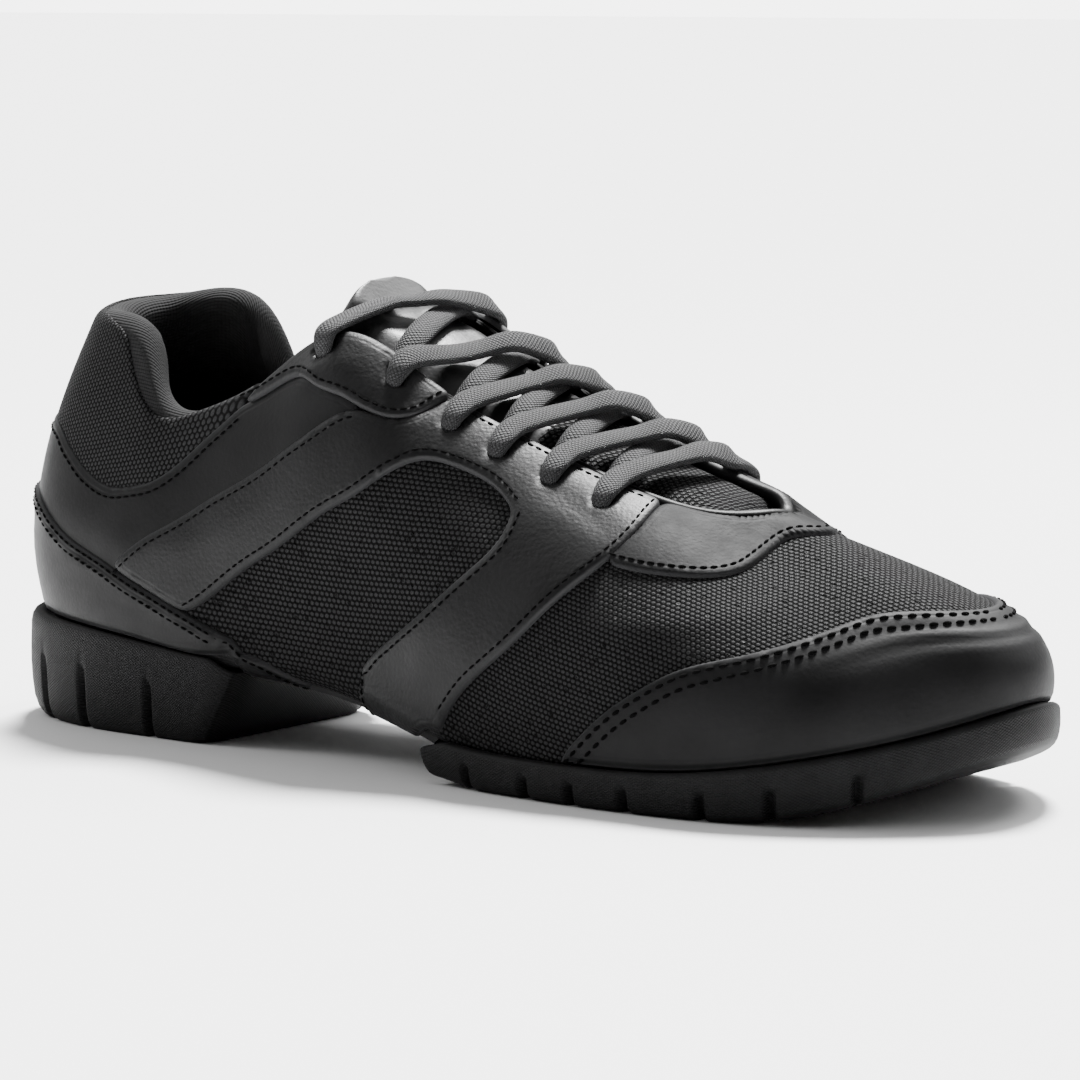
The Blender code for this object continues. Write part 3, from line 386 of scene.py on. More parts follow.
def creases(place, share):
    """Return the height of the soft creases and hollows of the worn upper."""
    fold = np.zeros(np.shape(share))
    for at, up, long, wide, slant, high in CREASES:
        across = (share - up - slant * (place - at)) / wide
        ends = (place - at) / long
        fold = fold + high * np.exp(-across**2) * np.exp(-ends**4)
    return fold * MM


def over_skin(place, share, lift):
    """Return points a distance above the creased skin, or inside it for a negative lift."""
    place = np.asarray(place, float)
    share = np.asarray(share, float)
    folded = np.where(place % ROUND > TOE, ROUND - place % ROUND, place % ROUND)
    lift = np.asarray(lift) + creases(folded, share)
    return skin(place, share) + skin_frame(place, share)[2] * lift[..., None]


def new_piece(name, mesh, material, *nodes, slot=None):
    """Link a mesh as a named piece that rides on the shoe and stands for its nodes."""
    item = bpy.data.objects.new(name, mesh)
    bpy.context.scene.collection.objects.link(item)
    mesh.materials.append(material)
    for face in mesh.polygons:
        face.use_smooth = True
    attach(item, "root")
    if nodes:
        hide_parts(*nodes)
    return item


def finished(name, bm):
    """Return a new mesh with what a bmesh holds, and free the bmesh."""
    mesh = bpy.data.meshes.new(name)
    bm.to_mesh(mesh)
    bm.free()
    return mesh


def grid_mesh(name, points, uv=None, join=True, outwards=False):
    """Return a mesh made by moving a grid's points, closed where its edges meet."""
    columns, rows = points.shape[:2]
    bm = bmesh.new()
    bmesh.ops.create_grid(bm, x_segments=columns - 1, y_segments=rows - 1, size=1.0)
    layer = bm.loops.layers.uv.new("UVMap")
    place = {}
    for vert in bm.verts:
        column = round((vert.co.x + 1) / 2 * (columns - 1))
        row = round((vert.co.y + 1) / 2 * (rows - 1))
        place[vert.index] = (column, row)
        vert.co = points[column, row]
    if uv is not None:
        for face in bm.faces:
            for loop in face.loops:
                loop[layer].uv = uv[place[loop.vert.index]]
    if join:
        bmesh.ops.remove_doubles(bm, verts=bm.verts[:], dist=0.00001)
    if outwards:
        bmesh.ops.recalc_face_normals(bm, faces=bm.faces[:])
    return finished(name, bm)


def lengths(points, axis):
    """Return running lengths along one axis of a grid of points."""
    steps = np.linalg.norm(np.diff(points, axis=axis), axis=-1)
    return np.concatenate((np.zeros_like(np.take(steps, [0], axis)), np.cumsum(steps, axis)), axis)


def run_along(line):
    """Return the running length along a line of points."""
    return np.concatenate(([0], np.cumsum(np.linalg.norm(np.diff(line, axis=0), axis=1))))


def curve_through(points, count, closed=False):
    """Return points evenly spread in length along a smooth curve through rows of values."""
    rows = np.asarray(points, float)
    if closed:
        ends = np.vstack((rows[-1:], rows, rows[:2]))
    else:
        ends = np.vstack((2 * rows[:1] - rows[1:2], rows, 2 * rows[-1:] - rows[-2:-1]))
    fine = []
    for index in range(1, len(ends) - 2):
        a, b, c, d = ends[index - 1:index + 3]
        t = np.linspace(0, 1, 24, endpoint=False)[:, None]
        fine.append(0.5 * (2 * b + (c - a) * t + (2 * a - 5 * b + 4 * c - d) * t**2
                           + (3 * b - a - 3 * c + d) * t**3))
    fine = np.vstack(fine + [ends[-2:-1]])
    run = run_along(fine[:, :3])
    target = np.linspace(0, run[-1], count)
    return np.stack([np.interp(target, run, fine[:, column]) for column in range(rows.shape[1])], 1)


def respaced(table, cell):
    """Return a smooth line through places and shares, spaced by a length on the skin."""
    spaced = np.hstack((skin(table[:, 0], table[:, 1]), table))
    length = np.sum(np.linalg.norm(np.diff(spaced[:, :3], axis=0), axis=1))
    return curve_through(spaced, max(3, round(length / cell) + 1))[:, 3:]


def seam(rows, cell):
    """Return a seam as places and shares, spaced by a length on the skin."""
    return respaced(np.array(rows, float), cell)


def flipped(line):
    """Return a seam on the inner side, as a negative place."""
    return line * (-1, 1)


def around_toe(line):
    """Return a seam on the inner side, past the toe."""
    return np.column_stack((ROUND - line[:, 0], line[:, 1]))


def level(first, last, share, cell):
    """Return a line at one share between two places."""
    places = np.linspace(first, last, max(3, round(abs(last - first) * 12)))
    return respaced(np.column_stack((places, np.full(len(places), share))), cell)


def chain(*lines):
    """Join lines end to end into one closed outline."""
    rows = np.vstack(lines)
    steps = np.linalg.norm(rows - np.roll(rows, 1, 0), axis=1)
    return rows[steps > 1e-4]


def rounded(outline, times=5):
    """Round the corners of a closed outline."""
    for _ in range(times):
        outline = (np.roll(outline, 1, 0) + 2 * outline + np.roll(outline, -1, 0)) / 4
    return outline


def turn_of(outline):
    """Return one for an outline that runs anticlockwise and minus one for the other way."""
    following = np.roll(outline, -1, 0)
    return np.sign(np.sum(outline[:, 0] * following[:, 1] - following[:, 0] * outline[:, 1]))


def drawn_in(outline, distance, closed=True):
    """Move a line sideways along the skin, inwards for a closed outline."""
    points = skin(outline[:, 0], outline[:, 1])
    along, rise, normal = skin_frame(outline[:, 0], outline[:, 1])
    if closed:
        tangent = np.roll(points, -1, 0) - np.roll(points, 1, 0)
        side = turn_of(outline)
    else:
        tangent = np.gradient(points, axis=0)
        side = 1
    inwards = np.cross(normal, tangent) * side
    inwards = inwards / np.linalg.norm(inwards, axis=1, keepdims=True) * distance
    a = np.sum(along * along, 1)
    b = np.sum(along * rise, 1)
    c = np.sum(rise * rise, 1)
    p = np.sum(along * inwards, 1)
    q = np.sum(rise * inwards, 1)
    det = np.maximum(a * c - b * b, 1e-14)
    return outline + np.column_stack(((c * p - b * q) / det, (a * q - b * p) / det))


def inside(points, outline):
    """Say which points are inside a closed outline."""
    x, y = points[:, 0:1], points[:, 1:2]
    x1, y1 = outline[:, 0][None], outline[:, 1][None]
    x2, y2 = np.roll(x1, -1, 1), np.roll(y1, -1, 1)
    crosses = (y1 > y) != (y2 > y)
    rise = np.where(np.abs(y2 - y1) < 1e-12, 1e-12, y2 - y1)
    return (np.sum(crosses & (x < (x2 - x1) * (y - y1) / rise + x1), 1) % 2).astype(bool)


def nearest(points, line):
    """Return the distance from each point to the nearest point of a line."""
    gaps = np.full(len(points), np.inf)
    for start in range(0, len(points), 2000):
        part = points[start:start + 2000]
        gaps[start:start + 2000] = np.min(np.linalg.norm(part[:, None] - line[None], axis=2), axis=1)
    return gaps


def lattice(outline, cell):
    """Return places and shares spread evenly on the skin inside an outline."""
    low, high = outline[:, 1].min(), outline[:, 1].max()
    first, last = outline[:, 0].min(), outline[:, 0].max()
    rows = []
    middle = (first + last) / 2
    height = np.linalg.norm(np.diff(skin(np.full(40, middle), np.linspace(low, high, 40)), axis=0),
                            axis=1).sum()
    for index, share in enumerate(np.linspace(low, high, max(3, int(height / cell)))[1:-1]):
        fine = np.linspace(first, last, 400)
        points = skin(fine, np.full(400, share))
        run = run_along(points)
        stops = np.arange(cell * (0.25 + 0.5 * (index % 2)), run[-1], cell)
        rows.append(np.column_stack((np.interp(stops, run, fine), np.full(len(stops), share))))
    return np.vstack(rows)


# Squeeze of the places against the shares, which keeps a net's triangles even
STRETCH = 0.3
# Depth of a panel's edge below its underside, and the nearness that counts as on its rim
SKIRT = 0.5 * MM
ON_RIM = 0.12 * MM


def panel_net(outline, holes, cell, edge):
    """Return the places and shares of a panel's points and the triangles between them."""
    rims = [outline, *holes]
    rings = []
    for part in (0.3, 1.0):
        rings += [drawn_in(outline, edge * part)]
        rings += [drawn_in(hole, -edge * part) for hole in holes]
    rings = np.vstack(rings)
    inner = lattice(outline, cell)
    inner = inner[inside(inner, outline)]
    for hole in holes:
        inner = inner[~inside(inner, hole)]
    rim_spots = np.vstack([over_skin(rim[:, 0], rim[:, 1], 0.0) for rim in rims])
    inner = inner[nearest(skin(*inner.T), rim_spots) > edge + 0.45 * cell]
    points = np.vstack(rims + [rings[inside(rings, outline)], inner])
    edges = []
    start = 0
    for rim in rims:
        edges += [(start + index, start + (index + 1) % len(rim)) for index in range(len(rim))]
        start += len(rim)
    flat = [(place * STRETCH, share) for place, share in points]
    verts, _, faces, _, _, _ = delaunay_2d_cdt(flat, edges, [], 2 if holes else 1, 1e-7)
    return np.array([(vert[0] / STRETCH, vert[1]) for vert in verts]), faces


def panel_mesh(name, outline, cell, base, thick, edge=0.8 * MM, holes=(), relief=None):
    """Return a sheet laid on the skin inside an outline, with a rolled edge and open holes."""
    table, faces = panel_net(outline, holes, cell, edge)
    spots = skin(*table.T)
    away = nearest(spots, np.vstack([skin(*doubled(rim).T) for rim in (outline, *holes)]))
    away[away < ON_RIM] = 0.0
    border = nearest(spots, skin(*doubled(outline).T))
    lift = base + thick * np.sqrt(1 - (1 - np.clip(away / edge, 0, 1)) ** 2)
    if relief is not None:
        lift = lift + relief(*table.T)
    bm = bmesh.new()
    far = bm.verts.layers.float.new("edge")
    made = [bm.verts.new(point) for point in over_skin(*table.T, lift)]
    for vert, distance in zip(made, border):
        vert[far] = distance / MM
    for face in faces:
        bm.faces.new([made[index] for index in face])
    rim_edges = [item for item in bm.edges if item.is_boundary]
    skirt = bmesh.ops.extrude_edge_only(bm, edges=rim_edges)
    low = [item for item in skirt["geom"] if isinstance(item, bmesh.types.BMVert)]
    bm.verts.index_update()
    above = [next(item.other_vert(vert).index for item in vert.link_edges
                  if item.other_vert(vert).index < len(made)) for vert in low]
    for vert, point in zip(low, over_skin(*table[above].T, base - SKIRT)):
        vert[far] = 0.0
        vert.co = point
    return finished(name, bm)


def doubled(outline):
    """Return an outline with twice as many points."""
    middle = (outline + np.roll(outline, -1, 0)) / 2
    return np.stack((outline, middle), 1).reshape(-1, 2)


def unwrap_cloth(item, along=(1.0, 0.0, 0.0)):
    """Lay a cloth piece flat for its weave, at real size and turned along the shoe."""
    bpy.context.view_layer.objects.active = item
    for other in bpy.context.selected_objects:
        other.select_set(False)
    item.select_set(True)
    mesh = item.data
    if not mesh.uv_layers:
        mesh.uv_layers.new(name="UVMap")
    bpy.ops.object.mode_set(mode="EDIT")
    bpy.ops.mesh.select_all(action="SELECT")
    bpy.ops.uv.unwrap(method="CONFORMAL", margin=0.0)
    bpy.ops.object.mode_set(mode="OBJECT")
    count = len(mesh.loops)
    uv = np.zeros(count * 2)
    mesh.uv_layers[0].data.foreach_get("uv", uv)
    uv = uv.reshape(-1, 2)
    corners = np.zeros(count, int)
    mesh.loops.foreach_get("vertex_index", corners)
    spots = np.zeros(len(mesh.vertices) * 3)
    mesh.vertices.foreach_get("co", spots)
    spots = spots.reshape(-1, 3)[corners]
    triangles = np.array([face.loop_start for face in mesh.polygons if face.loop_total == 3])
    flat_1 = uv[triangles + 1] - uv[triangles]
    flat_2 = uv[triangles + 2] - uv[triangles]
    solid_1 = spots[triangles + 1] - spots[triangles]
    solid_2 = spots[triangles + 2] - spots[triangles]
    flat_area = flat_1[:, 0] * flat_2[:, 1] - flat_1[:, 1] * flat_2[:, 0]
    solid_area = np.linalg.norm(np.cross(solid_1, solid_2), axis=1)
    scale = math.sqrt(solid_area.sum() / max(np.abs(flat_area).sum(), 1e-12))
    keep = np.abs(flat_area) > 1e-9
    reach_1 = solid_1[keep] @ np.array(along)
    reach_2 = solid_2[keep] @ np.array(along)
    slope_u = (reach_1 * flat_2[keep, 1] - reach_2 * flat_1[keep, 1]) / flat_area[keep]
    slope_v = (reach_2 * flat_1[keep, 0] - reach_1 * flat_2[keep, 0]) / flat_area[keep]
    angle = math.atan2(np.sum(slope_v * np.abs(flat_area[keep])),
                       np.sum(slope_u * np.abs(flat_area[keep])))
    turn = np.array(((math.cos(angle), -math.sin(angle)), (math.sin(angle), math.cos(angle))))
    uv = uv @ turn * scale
    mesh.uv_layers[0].data.foreach_set("uv", uv.ravel())


class Value:
    """A shader value whose arithmetic adds Math nodes."""

    def __init__(self, tree, source):
        self.tree = tree
        self.source = source

    def math(self, operation, *others):
        node = self.tree.nodes.new("ShaderNodeMath")
        node.operation = operation
        for socket, value in zip(node.inputs, (self, *others)):
            if isinstance(value, Value):
                self.tree.links.new(value.source, socket)
            else:
                socket.default_value = value
        return Value(self.tree, node.outputs[0])

    def __add__(self, other):
        return self.math("ADD", other)

    __radd__ = __add__

    def __sub__(self, other):
        return self.math("SUBTRACT", other)

    def __rsub__(self, other):
        return (self * -1.0) + other

    def __mul__(self, other):
        return self.math("MULTIPLY", other)

    __rmul__ = __mul__

    def __truediv__(self, other):
        return self.math("DIVIDE", other)

    def ridge(self):
        part = self.math("FRACT") - 0.5
        return 1.0 - part * part * 4.0

    def smooth(self, low, high, first=0.0, last=1.0):
        node = self.tree.nodes.new("ShaderNodeMapRange")
        node.interpolation_type = "SMOOTHSTEP"
        self.tree.links.new(self.source, node.inputs["Value"])
        for name, value in (("From Min", low), ("From Max", high), ("To Min", first), ("To Max", last)):
            node.inputs[name].default_value = value
        return Value(self.tree, node.outputs["Result"])


class Finish:
    """A material with a Principled shader and short ways to add its nodes."""

    def __init__(self, name, colour, roughness):
        self.material = bpy.data.materials.new(name)
        self.material.use_nodes = True
        self.tree = self.material.node_tree
        self.shader = self.tree.nodes["Principled BSDF"]
        self.shader.inputs["Base Color"].default_value = (*colour, 1.0)
        self.shader.inputs["Roughness"].default_value = roughness
        self.material.diffuse_color = (*colour, 1.0)
        self.colour = colour

    def node(self, kind, output=0, settings=(), **sockets):
        item = self.tree.nodes.new(kind)
        for key, value in dict(settings).items():
            setattr(item, key, value)
        for key, value in sockets.items():
            socket = item.inputs[key.replace("_", " ")]
            if isinstance(value, Value):
                self.tree.links.new(value.source, socket)
            else:
                socket.default_value = value
        return Value(self.tree, item.outputs[output])

    def place(self, kind="Object"):
        return self.node("ShaderNodeTexCoord", output=kind)

    def axes(self, vector):
        item = self.tree.nodes.new("ShaderNodeSeparateXYZ")
        self.tree.links.new(vector.source, item.inputs[0])
        return [Value(self.tree, socket) for socket in item.outputs]

    def noise(self, vector, scale, detail=2.0, rough=0.5):
        return self.node("ShaderNodeTexNoise", Vector=vector, Scale=scale, Detail=detail,
                         Roughness=rough)

    def cells(self, vector, scale, output="Distance", feature="F1"):
        return self.node("ShaderNodeTexVoronoi", output=output, settings={"feature": feature},
                         Vector=vector, Scale=scale)

    def attribute(self, name):
        return self.node("ShaderNodeAttribute", output="Fac", settings={"attribute_name": name})

    def mix(self, factor, first, second):
        item = self.tree.nodes.new("ShaderNodeMix")
        item.data_type = "RGBA"
        self.tree.links.new(factor.source, item.inputs["Factor"])
        for socket, value in ((item.inputs[6], first), (item.inputs[7], second)):
            if isinstance(value, Value):
                self.tree.links.new(value.source, socket)
            else:
                socket.default_value = (*value, 1.0)
        return Value(self.tree, item.outputs[2])

    def bump(self, height, distance, strength=1.0, below=None):
        sockets = {"Height": height, "Distance": distance, "Strength": strength}
        if below is not None:
            sockets["Normal"] = below
        return self.node("ShaderNodeBump", **sockets)

    def feed(self, **values):
        for key, value in values.items():
            socket = self.shader.inputs[key.replace("_", " ")]
            if isinstance(value, Value):
                self.tree.links.new(value.source, socket)
            else:
                socket.default_value = value
        return self.material


def tint(colour, factor):
    """Return a colour times a factor."""
    return tuple(min(part * factor, 1.0) for part in colour)


def leather_finish(name, colour, grain, sheen, rough=0.34, edged=True):
    """Return a black leather: grain and soft hollows, and on panels a seam groove and a painted
    highlight along the cut edge.
    """
    finish = Finish(name, colour, 0.4)
    spot = finish.place()
    soft = finish.noise(spot, 60.0, 0.0)
    pores = finish.cells(spot, 1050.0, feature="SMOOTH_F1")
    fine = finish.noise(spot, 1700.0, 2.0)
    below = finish.bump(soft, 1.2 * MM, 0.12)
    below = finish.bump(pores * 0.8 + fine * 0.5, 0.16 * MM, grain, below)
    dust = finish.noise(spot, 240.0, 4.0, 0.6)
    body = finish.mix(soft.smooth(0.35, 0.7), tint(colour, 0.8), tint(colour, 1.35))
    gloss = dust * 0.16 + soft * 0.1 + rough
    if edged:
        away = finish.attribute("edge")
        groove = away.smooth(1.5, 2.1) * away.smooth(2.7, 2.1)
        # Painted highlight: the leather is painted lighter within about a millimetre of its cut edge,
        # and a little rougher there
        cut_edge_highlight = away.smooth(0.9, 0.1)
        below = finish.bump(groove * -1.0, 0.2 * MM, 0.25, below)
        body = finish.mix(cut_edge_highlight * 0.8, body, tint(colour, 4.4))
        gloss = gloss + cut_edge_highlight * 0.15
    return finish.feed(Base_Color=body, Normal=below, Specular_IOR_Level=sheen, Roughness=gloss)


def mesh_finish(name, colour, wide, high, depth, holes):
    """Return a woven mesh cloth: raised cells in brick order, with a painted highlight on the cells,
    painted shade in the gaps, and dark pits painted as the shade of open holes.
    """
    finish = Finish(name, colour, 0.8)
    flat = finish.place("UV")
    waver = finish.noise(flat, 160.0, 1.0)
    across, up, _ = finish.axes(flat)
    column = across / wide + waver * 0.35
    row = up / high + waver * 0.25
    line = row.math("FLOOR")
    shift = line.math("MODULO", 2.0) * 0.5
    x = (column + shift).math("FRACT") - 0.5
    y = row.math("FRACT") - 0.5
    bulge = 1.0 - (x * x * 3.4 + y * y * 3.8)
    thread = (column * 3.0 + row * 1.5).ridge()
    cell = bulge.smooth(0.1, 0.85)
    speck = finish.cells(flat, 290.0)
    pit = speck.smooth(0.25, 0.14) * holes
    height = cell * 1.0 + thread * cell * 0.22 - pit * 1.2
    below = finish.bump(height, depth, 1.0)
    tone = finish.noise(flat, 45.0, 3.0)
    # Painted light and shade: the cells are painted up to 2.6 times lighter on their crests and the gaps
    # between them 0.05 times as dark, mixed with a random tone
    body = finish.mix(cell * (tone * 0.8 + 0.6), tint(colour, 0.05), tint(colour, 2.6))
    # Painted shade: the pits are painted nearly black for the shade inside the holes of the cloth
    body = finish.mix(pit, body, tint(colour, 0.05))
    return finish.feed(Base_Color=body, Normal=below, Roughness=0.92 - cell * 0.34,
                       Specular_IOR_Level=0.11)


def knit_finish(name, colour, pitch, depth, kind="UV"):
    """Return a fine ribbed knit lining, with a painted highlight on the ribs and painted shade between
    them.
    """
    finish = Finish(name, colour, 0.9)
    flat = finish.place(kind)
    across, up, _ = finish.axes(flat)
    waver = finish.noise(flat, 90.0, 2.0)
    rib = (up / pitch + waver * 0.5).ridge()
    loop = (across / (pitch * 1.4) + waver * 0.4).ridge()
    height = rib * 0.8 + loop * 0.35
    below = finish.bump(height, depth, 1.0)
    # Painted light and shade: the colour follows the height, lighter on the ribs and darker in the
    # troughs between them
    body = finish.mix(height.smooth(0.2, 1.1), tint(colour, 0.45), tint(colour, 1.7))
    return finish.feed(Base_Color=body, Normal=below, Roughness=0.92, Specular_IOR_Level=0.25)


def rubber_finish(name, colour):
    """Return matte rubber with a fine diamond texture on the sides, its crests painted lighter as a
    painted highlight.
    """
    finish = Finish(name, colour, 0.6)
    spot = finish.place()
    flat = finish.place("UV")
    across, up, _ = finish.axes(flat)
    pitch = 1.15 * MM
    diamond = ((across + up * 1.6) / pitch).ridge() * ((across - up * 1.6) / pitch).ridge()
    shell = finish.attribute("side")
    wear = finish.noise(spot, 130.0, 5.0, 0.65)
    below = finish.bump(diamond * shell, 0.22 * MM, 0.75)
    below = finish.bump(wear, 0.12 * MM, 0.6, below)
    body = finish.mix(wear.smooth(0.35, 0.75), tint(colour, 0.75), tint(colour, 1.6))
    # Painted highlight: the crests of the diamond texture are painted twice as light
    body = finish.mix(diamond * shell * 0.6, body, tint(colour, 2.0))
    return finish.feed(Base_Color=body, Normal=below, Roughness=wear * 0.2 + 0.5,
                       Specular_IOR_Level=0.12)


def lace_finish(name, colour):
    """Return a flat woven lace with a slanted braid, its strands painted lighter and the gaps between
    them darker as painted light and shade.
    """
    finish = Finish(name, colour, 0.8)
    flat = finish.place("UV")
    across, up, _ = finish.axes(flat)
    waver = finish.noise(flat, 300.0, 1.0) * 0.2
    pitch = 0.95 * MM
    strands = 17.0
    rising = (across / pitch + up * strands + waver).ridge()
    height = rising * (across / pitch - up * strands + waver).ridge()
    below = finish.bump(height, 0.3 * MM, 0.9)
    # Painted light and shade: the braid's strands are painted lighter and the gaps between them darker
    body = finish.mix(height.smooth(0.05, 0.8), tint(colour, 0.3), tint(colour, 3.0))
    return finish.feed(Base_Color=body, Normal=below, Roughness=0.7, Specular_IOR_Level=0.36)


def plain_finish(name, colour, roughness):
    """Return a plain finish with a little variation, for thread and small parts."""
    finish = Finish(name, colour, roughness)
    spot = finish.place()
    grain = finish.noise(spot, 1400.0, 2.0)
    body = finish.mix(grain, tint(colour, 0.6), tint(colour, 1.5))
    return finish.feed(Base_Color=body, Roughness=grain * 0.2 + roughness - 0.1,
                       Specular_IOR_Level=0.05)


FINISHES = {}


def finishes():
    """Return the shoe's finishes, made once."""
    if FINISHES:
        return FINISHES
    look = bpy.context.scene.sneaker_colours
    sizes = bpy.context.scene.sneaker_sizes
    FINISHES.update({
        "grained": leather_finish("grained_leather", look.leather, 0.55, 0.17),
        "smooth": leather_finish("smooth_leather", look.leather, 0.25, 0.13),
        "tip": leather_finish("tip_leather", look.leather, 0.45, 0.07, 0.48),
        "cap": leather_finish("cap_leather", look.leather, 0.25, 0.11, 0.44),
        "tab": leather_finish("tab_leather", look.leather, 0.35, 0.34, 0.3, edged=False),
        "sheet": leather_finish("sheet_leather", look.leather, 0.25, 0.13, edged=False),
        "sock": knit_finish("sock_knit", look.lining, 1.1 * MM, 0.2 * MM, "Object"),
        "mesh": mesh_finish("woven_mesh", look.mesh, sizes.weave_wide, sizes.weave_high,
                            0.45 * MM, 1.0),
        "collar": mesh_finish("collar_mesh", look.mesh, 1.1 * MM, 0.9 * MM, 0.25 * MM, 0.0),
        "lining": knit_finish("lining_knit", look.lining, 0.85 * MM, 0.2 * MM),
        "rubber": rubber_finish("sole_rubber", look.rubber),
        "lace": lace_finish("woven_lace", look.lace),
        # The thread is black, and painted darker than the leather as painted shade of its stitch holes
        # and groove
        "thread": plain_finish("black_thread_and_painted_shade", (0.0008, 0.0008, 0.0008), 0.9),
        # Painted shade: the near-black finish of the plugs in the eyelets
        "hole": plain_finish("painted_hole_shade", (0.002, 0.002, 0.002), 0.9),
    })
    return FINISHES


def seams(cell):
    """Return the named seams of the outer side, spaced for building."""
    return {
        "counter": seam(COUNTER_TOP, cell), "tail": seam(COUNTER_TAIL, cell),
        "collar": seam(COLLAR_EDGE, cell), "wing_back": seam(WING_BACK, cell),
        "wing_front": seam(WING_FRONT, cell), "strap": seam(STRAP_TOP, cell),
        "window": seam(WINDOW_TOP, cell), "window_front": seam(WINDOW_FRONT, cell),
        "saddle": seam(SADDLE_FRONT, cell), "saddle_foot": seam(SADDLE_FOOT, cell),
        "tip": seam(VAMP_TIP_EDGE, cell), "cap": seam(CAP_EDGE, cell),
        "strap_foot": seam(COUNTER_TOP[3:6], cell), "counter_back": seam(COUNTER_TOP[:4], cell),
        "counter_front": seam(COUNTER_TOP[5:], cell), "tip_side": seam(SADDLE_FRONT[:3], cell),
        "saddle_low": seam(SADDLE_FRONT[2:], cell), "collar_seam": seam(COLLAR_SEAM, cell),
    }


def outlines(cell):
    """Return the closed outlines of the leather and cloth pieces by name."""
    s = seams(cell)
    under = [drawn_in(s[name], -OVERLAP, closed=False) for name in ("counter_back", "strap")]
    rear = np.vstack((*under, s["wing_back"][::-1], s["collar"][::-1]))
    tip_end = SADDLE_FRONT[0][0]
    cap_end = CAP_EDGE[0][0]
    return {
        "heel_counter": chain(s["counter"], s["tail"],
                              level(COUNTER_TAIL[-1][0], 4.5, -0.9, cell),
                              level(4.5, -4.5, FOOT_LINE, cell),
                              level(-4.5, -COUNTER_TAIL[-1][0], -0.9, cell),
                              flipped(s["tail"])[::-1], flipped(s["counter"])[::-1]),
        "rear_quarter": chain(rear, flipped(rear)[::-1]),
        "eyestay": chain(s["strap"], s["wing_front"],
                         level(WING_FRONT[-1][0], tip_end, RIM_LINE, cell), s["saddle"],
                         s["saddle_foot"], level(SADDLE_FOOT[-1][0], WINDOW_FRONT[-1][0], -0.85, cell),
                         s["window_front"][::-1], s["window"][::-1], s["strap_foot"][::-1]),
        "wing": chain(s["wing_back"], s["wing_front"],
                      level(WING_FRONT[-1][0], WING_BACK[0][0] + 0.25, RIM_LINE, cell)),
        "vamp_tip": chain(s["tip_side"], s["tip"], around_toe(s["tip"])[::-1],
                          around_toe(s["tip_side"])[::-1],
                          level(ROUND - tip_end, tip_end, RIM_LINE, cell)),
        "toe_cap": chain(s["cap"], around_toe(s["cap"])[::-1],
                         level(ROUND - cap_end, cap_end, FOOT_LINE, cell)),
        "window": chain(s["window"], s["window_front"],
                        level(WINDOW_FRONT[-1][0], COUNTER_TAIL[-1][0], -0.85, cell),
                        s["tail"][::-1], s["counter_front"][::-1]),
        "vamp": chain(s["saddle_low"][::-1], s["tip"], around_toe(s["tip"])[::-1],
                      around_toe(s["saddle_low"]),
                      level(ROUND - SADDLE_FRONT[-1][0], ROUND - cap_end, FOOT_LINE, cell),
                      around_toe(s["cap"]), s["cap"][::-1],
                      level(cap_end, SADDLE_FRONT[-1][0], FOOT_LINE, cell)),
        "collar": chain(s["collar"], s["collar_seam"][::-1], flipped(s["collar_seam"]),
                        flipped(s["collar"])[::-1]),
    }


def eyelet_rims(inner):
    """Return the outlines of the eyelets of one side as places and shares."""
    rims = []
    for outer_place, inner_place, share in EYELETS:
        place = -inner_place if inner else outer_place
        along, rise, _ = skin_frame(np.array([place]), np.array([share]))
        turn = np.linspace(0, 2 * math.pi, 13)[:-1]
        rims.append(np.column_stack((place + EYELET_RADIUS * np.cos(turn) / np.linalg.norm(along),
                                     share + EYELET_RADIUS * np.sin(turn) / np.linalg.norm(rise))))
    return rims


def inside_eyelets(rims, outline):
    """Return the eyelets that lie in an outline."""
    return [rim for rim in rims if inside(rim, outline).all()]


# Shares of the points round the roll of the rim
ROLL_SHARES = 1 + np.linspace(0, 1, 15)[1:-1]
# Cloth: sink of the shell behind it, reach under the leather, thickness and rolled edge
SHELL_SINK = 0.15 * MM
CLOTH_REACH = 2.0 * MM
CLOTH_THICK = 0.25 * MM
CLOTH_EDGE = 0.55 * MM
COLLAR_THICK = 0.5 * MM
COLLAR_ROLL = 1.2 * MM


